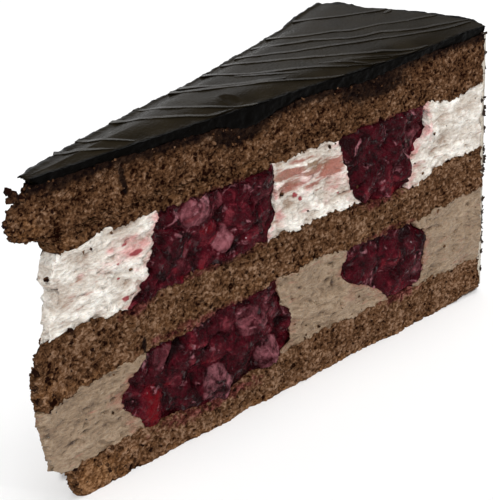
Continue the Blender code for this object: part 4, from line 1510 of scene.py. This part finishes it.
def make_crumbs(name, sources, density, size, colors):
    """Loose crumbs on the cut faces of these pieces."""
    thing = strewn(sources, name)
    tree = shape_tree("Loose crumbs", {"Density": 1.0, "Seed": 4, "Size": 0.9 * MM}, crumb_shape)
    material = finish_of("crumb", loose_crumb_finish, 0.28, colors)
    shaped(thing, tree, material=material, density=density, size=size)
    return finished(thing, "sponge")


def make_tip_crumbs(colors):
    """Single larger crumbs on the tip and on the front cut."""
    radius, side, height, size = np.array(TIP_CRUMBS).T
    thing = grown("tip_crumbs", spot(radius * MM, side, height * MM).tolist(), size=size)
    tree = shape_tree("Placed crumbs", {"Seed": 9}, placed_crumb_shape)
    shaped(thing, tree, material=finish_of("dark_crumb", loose_crumb_finish, 0.02, colors))
    return finished(thing, "sponge")


# ---------------------------------------------------------------- the stage


def lamp(name, way, strength, width):
    """A soft even light from one direction, as wide as the angle that it fills in degrees."""
    data = bpy.data.lights.new(name, "SUN")
    data.energy = strength
    data.angle = math.radians(width)
    thing = bpy.data.objects.new(name, data)
    bpy.context.scene.collection.objects.link(thing)
    thing.rotation_euler = Vector(way).to_track_quat("Z", "Y").to_euler()


def set_camera():
    """The camera, at the angle from which the slice is seen."""
    azimuth, elevation, roll = (math.radians(turn) for turn in CAMERA_TURNS)
    flat = math.cos(elevation)
    back = Vector((math.sin(azimuth) * flat, -math.cos(azimuth) * flat, math.sin(elevation)))
    right = Vector((math.cos(azimuth), math.sin(azimuth), 0))
    up = back.cross(right)
    across = math.cos(roll) * right + math.sin(roll) * up
    upwards = math.cos(roll) * up - math.sin(roll) * right
    data = bpy.data.cameras.new("camera")
    data.lens = CAMERA_LENS
    data.sensor_width = 36
    data.clip_start = 0.01
    camera = bpy.data.objects.new("camera", data)
    bpy.context.scene.collection.objects.link(camera)
    turn = Matrix((across, upwards, back)).transposed()
    place = Vector(CAMERA_AIM) + back * CAMERA_DISTANCE
    camera.matrix_world = Matrix.Translation(place) @ turn.to_4x4()
    bpy.context.scene.camera = camera


def set_floor(colors):
    """The pale floor under the slice."""
    corners = ((-1, -1), (1, -1), (1, 1), (-1, 1))
    points = [(x * FLOOR_REACH, y * FLOOR_REACH, -FLOOR_DROP) for x, y in corners]
    floor = grown("floor", points, faces=[(0, 1, 2, 3)])
    floor.data.materials.append(finish_of("pale_floor", floor_finish, colors))

def set_lights():
    """Soft studio light: a wide one overhead, a narrow one from the front and a dim one behind."""
    world = bpy.data.worlds.new("studio")
    world.use_nodes = True
    background = world.node_tree.nodes["Background"]
    background.inputs["Color"].default_value = (1, 1, 1, 1)
    background.inputs["Strength"].default_value = ROOM_LIGHT
    bpy.context.scene.world = world
    for each in LAMPS:
        lamp(*each)

# ---------------------------------------------------------------- settings, buttons and panel


def color_setting(name, description, value):
    """A colour that the panel shows."""
    return bpy.props.FloatVectorProperty(
        name=name, description=description, subtype="COLOR", size=3, min=0, max=1, default=value
    )


def length_setting(name, description, value):
    """A length that the panel shows."""
    return bpy.props.FloatProperty(
        name=name, description=description, unit="LENGTH", min=0, precision=5, default=value
    )


def density_setting(name, description, value):
    """A number of things on a square metre that the panel shows."""
    return bpy.props.FloatProperty(name=name, description=description, min=0, default=value)

def settings_of(context):
    """The sizes, the colours and the heights between the layers."""
    return context.scene.cake_sizes, context.scene.cake_colors, layer_levels()

class CakeSliceSizes(bpy.types.PropertyGroup):
    """Sizes of the slice's surface"""

    step: length_setting("Grid step", "Distance between the points of a cut face", 0.26 * MM)
    crumb_height: length_setting("Crumb height", "How far the sponge's crumbs stand out", 0.6 * MM)
    pore_depth: length_setting("Pore depth", "How deep the sponge's open pores are", 0.9 * MM)
    ridge_width: length_setting("Ridge width", "Half the width of a drizzle ridge", 0.64 * MM)
    crumb_size: length_setting("Crumb size", "Size of a large loose crumb", 0.9 * MM)
    sponge_crumbs: density_setting("Sponge crumbs", "Crumbs on a square metre of sponge", 1.6e5)
    cream_crumbs: density_setting("Cream crumbs", "Crumbs on a square metre of its edge", 1.2e5)
    flake_density: density_setting("Flakes", "Flakes on a square metre of the coat", 4.6e5)


class CakeSliceColors(bpy.types.PropertyGroup):
    """Colours of the slice's foods"""

    sponge: color_setting("Sponge", "Middle brown of the crumb", (0.105, 0.049, 0.022))
    # In the sponge's pores this colour is painted shade; loose crumbs and crumb dust take it as
    # their own brown
    sponge_dark: color_setting("Sponge pores", "Brown deep in the pores", (0.009, 0.0018, 0.0004))
    sponge_light: color_setting("Sponge crests", "Crumbs that catch light", (0.27, 0.165, 0.105))
    toast: color_setting("Toasted sponge", "Brown of the browned skin", (0.15, 0.067, 0.025))
    toast_light: color_setting("Toasted crests", "Crumbs that catch light", (0.35, 0.185, 0.085))
    soak: color_setting("Soaked sponge", "Brown where glaze has soaked in", (0.011, 0.0045, 0.0025))
    white_cream: color_setting("White cream", "Most of the white cream", (0.575, 0.515, 0.45))
    # The crest and pit colours below are painted light and painted shade, which follow the cream's
    # relief
    white_cream_high: color_setting("White cream crests", "Its crests", (0.875, 0.84, 0.775))
    white_cream_low: color_setting("White cream pits", "Its pits", (0.33, 0.24, 0.18))
    chocolate_cream: color_setting("Chocolate cream", "Most of it", (0.226, 0.152, 0.091))
    # The crest and pit colours below are painted light and painted shade, which follow the cream's
    # relief
    chocolate_cream_high: color_setting("Chocolate cream crests", "Its crests", (0.36, 0.266, 0.18))
    chocolate_cream_low: color_setting("Chocolate cream pits", "Its pits", (0.085, 0.05, 0.028))
    smear: color_setting("Smeared crumb", "Salmon brown smears in the cream", (0.3, 0.098, 0.066))
    cherry: color_setting("Cherries", "Dark red of the cherries", (0.048, 0.0022, 0.0056))
    cherry_dark: color_setting("Dark cherries", "Darkest red of their skin", (0.01, 0.0004, 0.001))
    cherry_light: color_setting("Light cherries", "Lightest of their flesh", (0.2, 0.022, 0.032))
    cherry_hollow: color_setting("Hollows", "Shade between the cherries", (0.003, 0.0002, 0.0004))
    juice: color_setting("Juice", "Bright red of the juice", (0.12, 0.0015, 0.004))
    flesh: color_setting("Cherry flesh", "Greyish pink of opened flesh", (0.32, 0.125, 0.145))
    glaze: color_setting("Glaze", "Dark chocolate glaze", (0.01, 0.0075, 0.0042))
    glaze_bloom: color_setting("Glaze bloom", "Where it is a little paler", (0.016, 0.0121, 0.0068))
    shaving: color_setting("Shavings", "Paler side of the shaved chocolate", (0.045, 0.022, 0.013))
    coat: color_setting("Coat", "Cream on the rim", (0.56, 0.5, 0.41))
    # The coat's pit colour is painted shade, which follows its relief
    coat_low: color_setting("Coat pits", "Its pits", (0.3, 0.25, 0.19))
    floor: color_setting("Floor", "Pale floor under the slice", (0.95, 0.95, 0.95))


class CAKE_OT_sponges(bpy.types.Operator):
    """Make the three layers of chocolate sponge"""

    bl_idname = "cake.sponges"
    bl_label = "Sponges"

    def execute(self, context):
        sizes, colors, levels = settings_of(context)
        make_sponge("bottom", sizes, colors, levels, "underside", "chocolate foot")
        make_sponge("middle", sizes, colors, levels, "chocolate top", "white foot")
        make_sponge("top", sizes, colors, levels, "white top", "glaze foot")
        return {"FINISHED"}


class CAKE_OT_creams(bpy.types.Operator):
    """Make the pieces of white and chocolate cream"""

    bl_idname = "cake.creams"
    bl_label = "Creams"

    def execute(self, context):
        sizes, colors, levels = settings_of(context)
        for band in BORDERS:
            for part in ("tip", "middle", "rim"):
                make_cream(band, part, sizes, colors, levels)
        return {"FINISHED"}


class CAKE_OT_cherries(bpy.types.Operator):
    """Make the four rings of cherries"""

    bl_idname = "cake.cherries"
    bl_label = "Cherries"

    def execute(self, context):
        sizes, colors, levels = settings_of(context)
        for band in BORDERS:
            for ring in ("inner", "outer"):
                make_cherries(band, ring, sizes, colors, levels)
        return {"FINISHED"}


class CAKE_OT_glaze(bpy.types.Operator):
    """Make the poured glaze and its drizzle"""

    bl_idname = "cake.glaze"
    bl_label = "Glaze and drizzle"

    def execute(self, context):
        sizes, colors, levels = settings_of(context)
        make_glaze(colors, levels)
        make_drizzle(sizes, colors)
        return {"FINISHED"}


class CAKE_OT_coat(bpy.types.Operator):
    """Make the rim's coat of cream with its shavings and flakes"""

    bl_idname = "cake.coat"
    bl_label = "Coat and shavings"

    def execute(self, context):
        sizes, colors, levels = settings_of(context)
        make_coat(colors, levels)
        make_shavings(colors)
        make_flakes(sizes, colors)
        return {"FINISHED"}


class CAKE_OT_crumbs(bpy.types.Operator):
    """Strew loose crumbs over the cut faces"""

    bl_idname = "cake.crumbs"
    bl_label = "Loose crumbs"

    def execute(self, context):
        sizes, colors = context.scene.cake_sizes, context.scene.cake_colors
        sponges = [f"sponge_{name}" for name in SPONGE_TIPS]
        creams = [f"{band}_cream_{part}" for band in BORDERS for part in ("tip", "middle", "rim")]
        make_crumbs("sponge_crumbs", sponges, sizes.sponge_crumbs, sizes.crumb_size, colors)
        make_crumbs("cream_crumbs", creams, sizes.cream_crumbs, sizes.crumb_size, colors)
        make_tip_crumbs(colors)
        return {"FINISHED"}


class CAKE_OT_stage(bpy.types.Operator):
    """Set the floor, the lights and the camera"""

    bl_idname = "cake.stage"
    bl_label = "Stage"

    def execute(self, context):
        context.scene.view_settings.view_transform = "Standard"
        set_floor(context.scene.cake_colors)
        set_lights()
        set_camera()
        return {"FINISHED"}


OPERATORS = (
    CAKE_OT_sponges,
    CAKE_OT_creams,
    CAKE_OT_cherries,
    CAKE_OT_glaze,
    CAKE_OT_coat,
    CAKE_OT_crumbs,
    CAKE_OT_stage,
)


class CAKE_PT_panel(bpy.types.Panel):
    """The slice's buttons and settings"""

    bl_label = "Cherry cake slice"
    bl_space_type = "VIEW_3D"
    bl_region_type = "UI"
    bl_category = "Cake"

    def draw(self, context):
        for operator in OPERATORS:
            self.layout.operator(operator.bl_idname)
        for settings in (context.scene.cake_sizes, context.scene.cake_colors):
            box = self.layout.box()
            for name in settings.bl_rna.properties.keys():
                if name not in ("rna_type", "name"):
                    box.prop(settings, name)


CLASSES = (CakeSliceSizes, CakeSliceColors, *OPERATORS, CAKE_PT_panel)


def register():
    """Registers the classes and the scene's settings."""
    for each in CLASSES:
        bpy.utils.register_class(each)
    bpy.types.Scene.cake_sizes = bpy.props.PointerProperty(type=CakeSliceSizes)
    bpy.types.Scene.cake_colors = bpy.props.PointerProperty(type=CakeSliceColors)


def unregister():
    """Takes the settings and the classes back."""
    del bpy.types.Scene.cake_sizes
    del bpy.types.Scene.cake_colors
    for each in reversed(CLASSES):
        bpy.utils.unregister_class(each)


def main():
    """Makes every piece and the stage."""
    register()
    bpy.ops.cake.sponges()
    bpy.ops.cake.creams()
    bpy.ops.cake.cherries()
    bpy.ops.cake.glaze()
    bpy.ops.cake.coat()
    bpy.ops.cake.crumbs()
    bpy.ops.cake.stage()


if __name__ == "__main__":
    main()
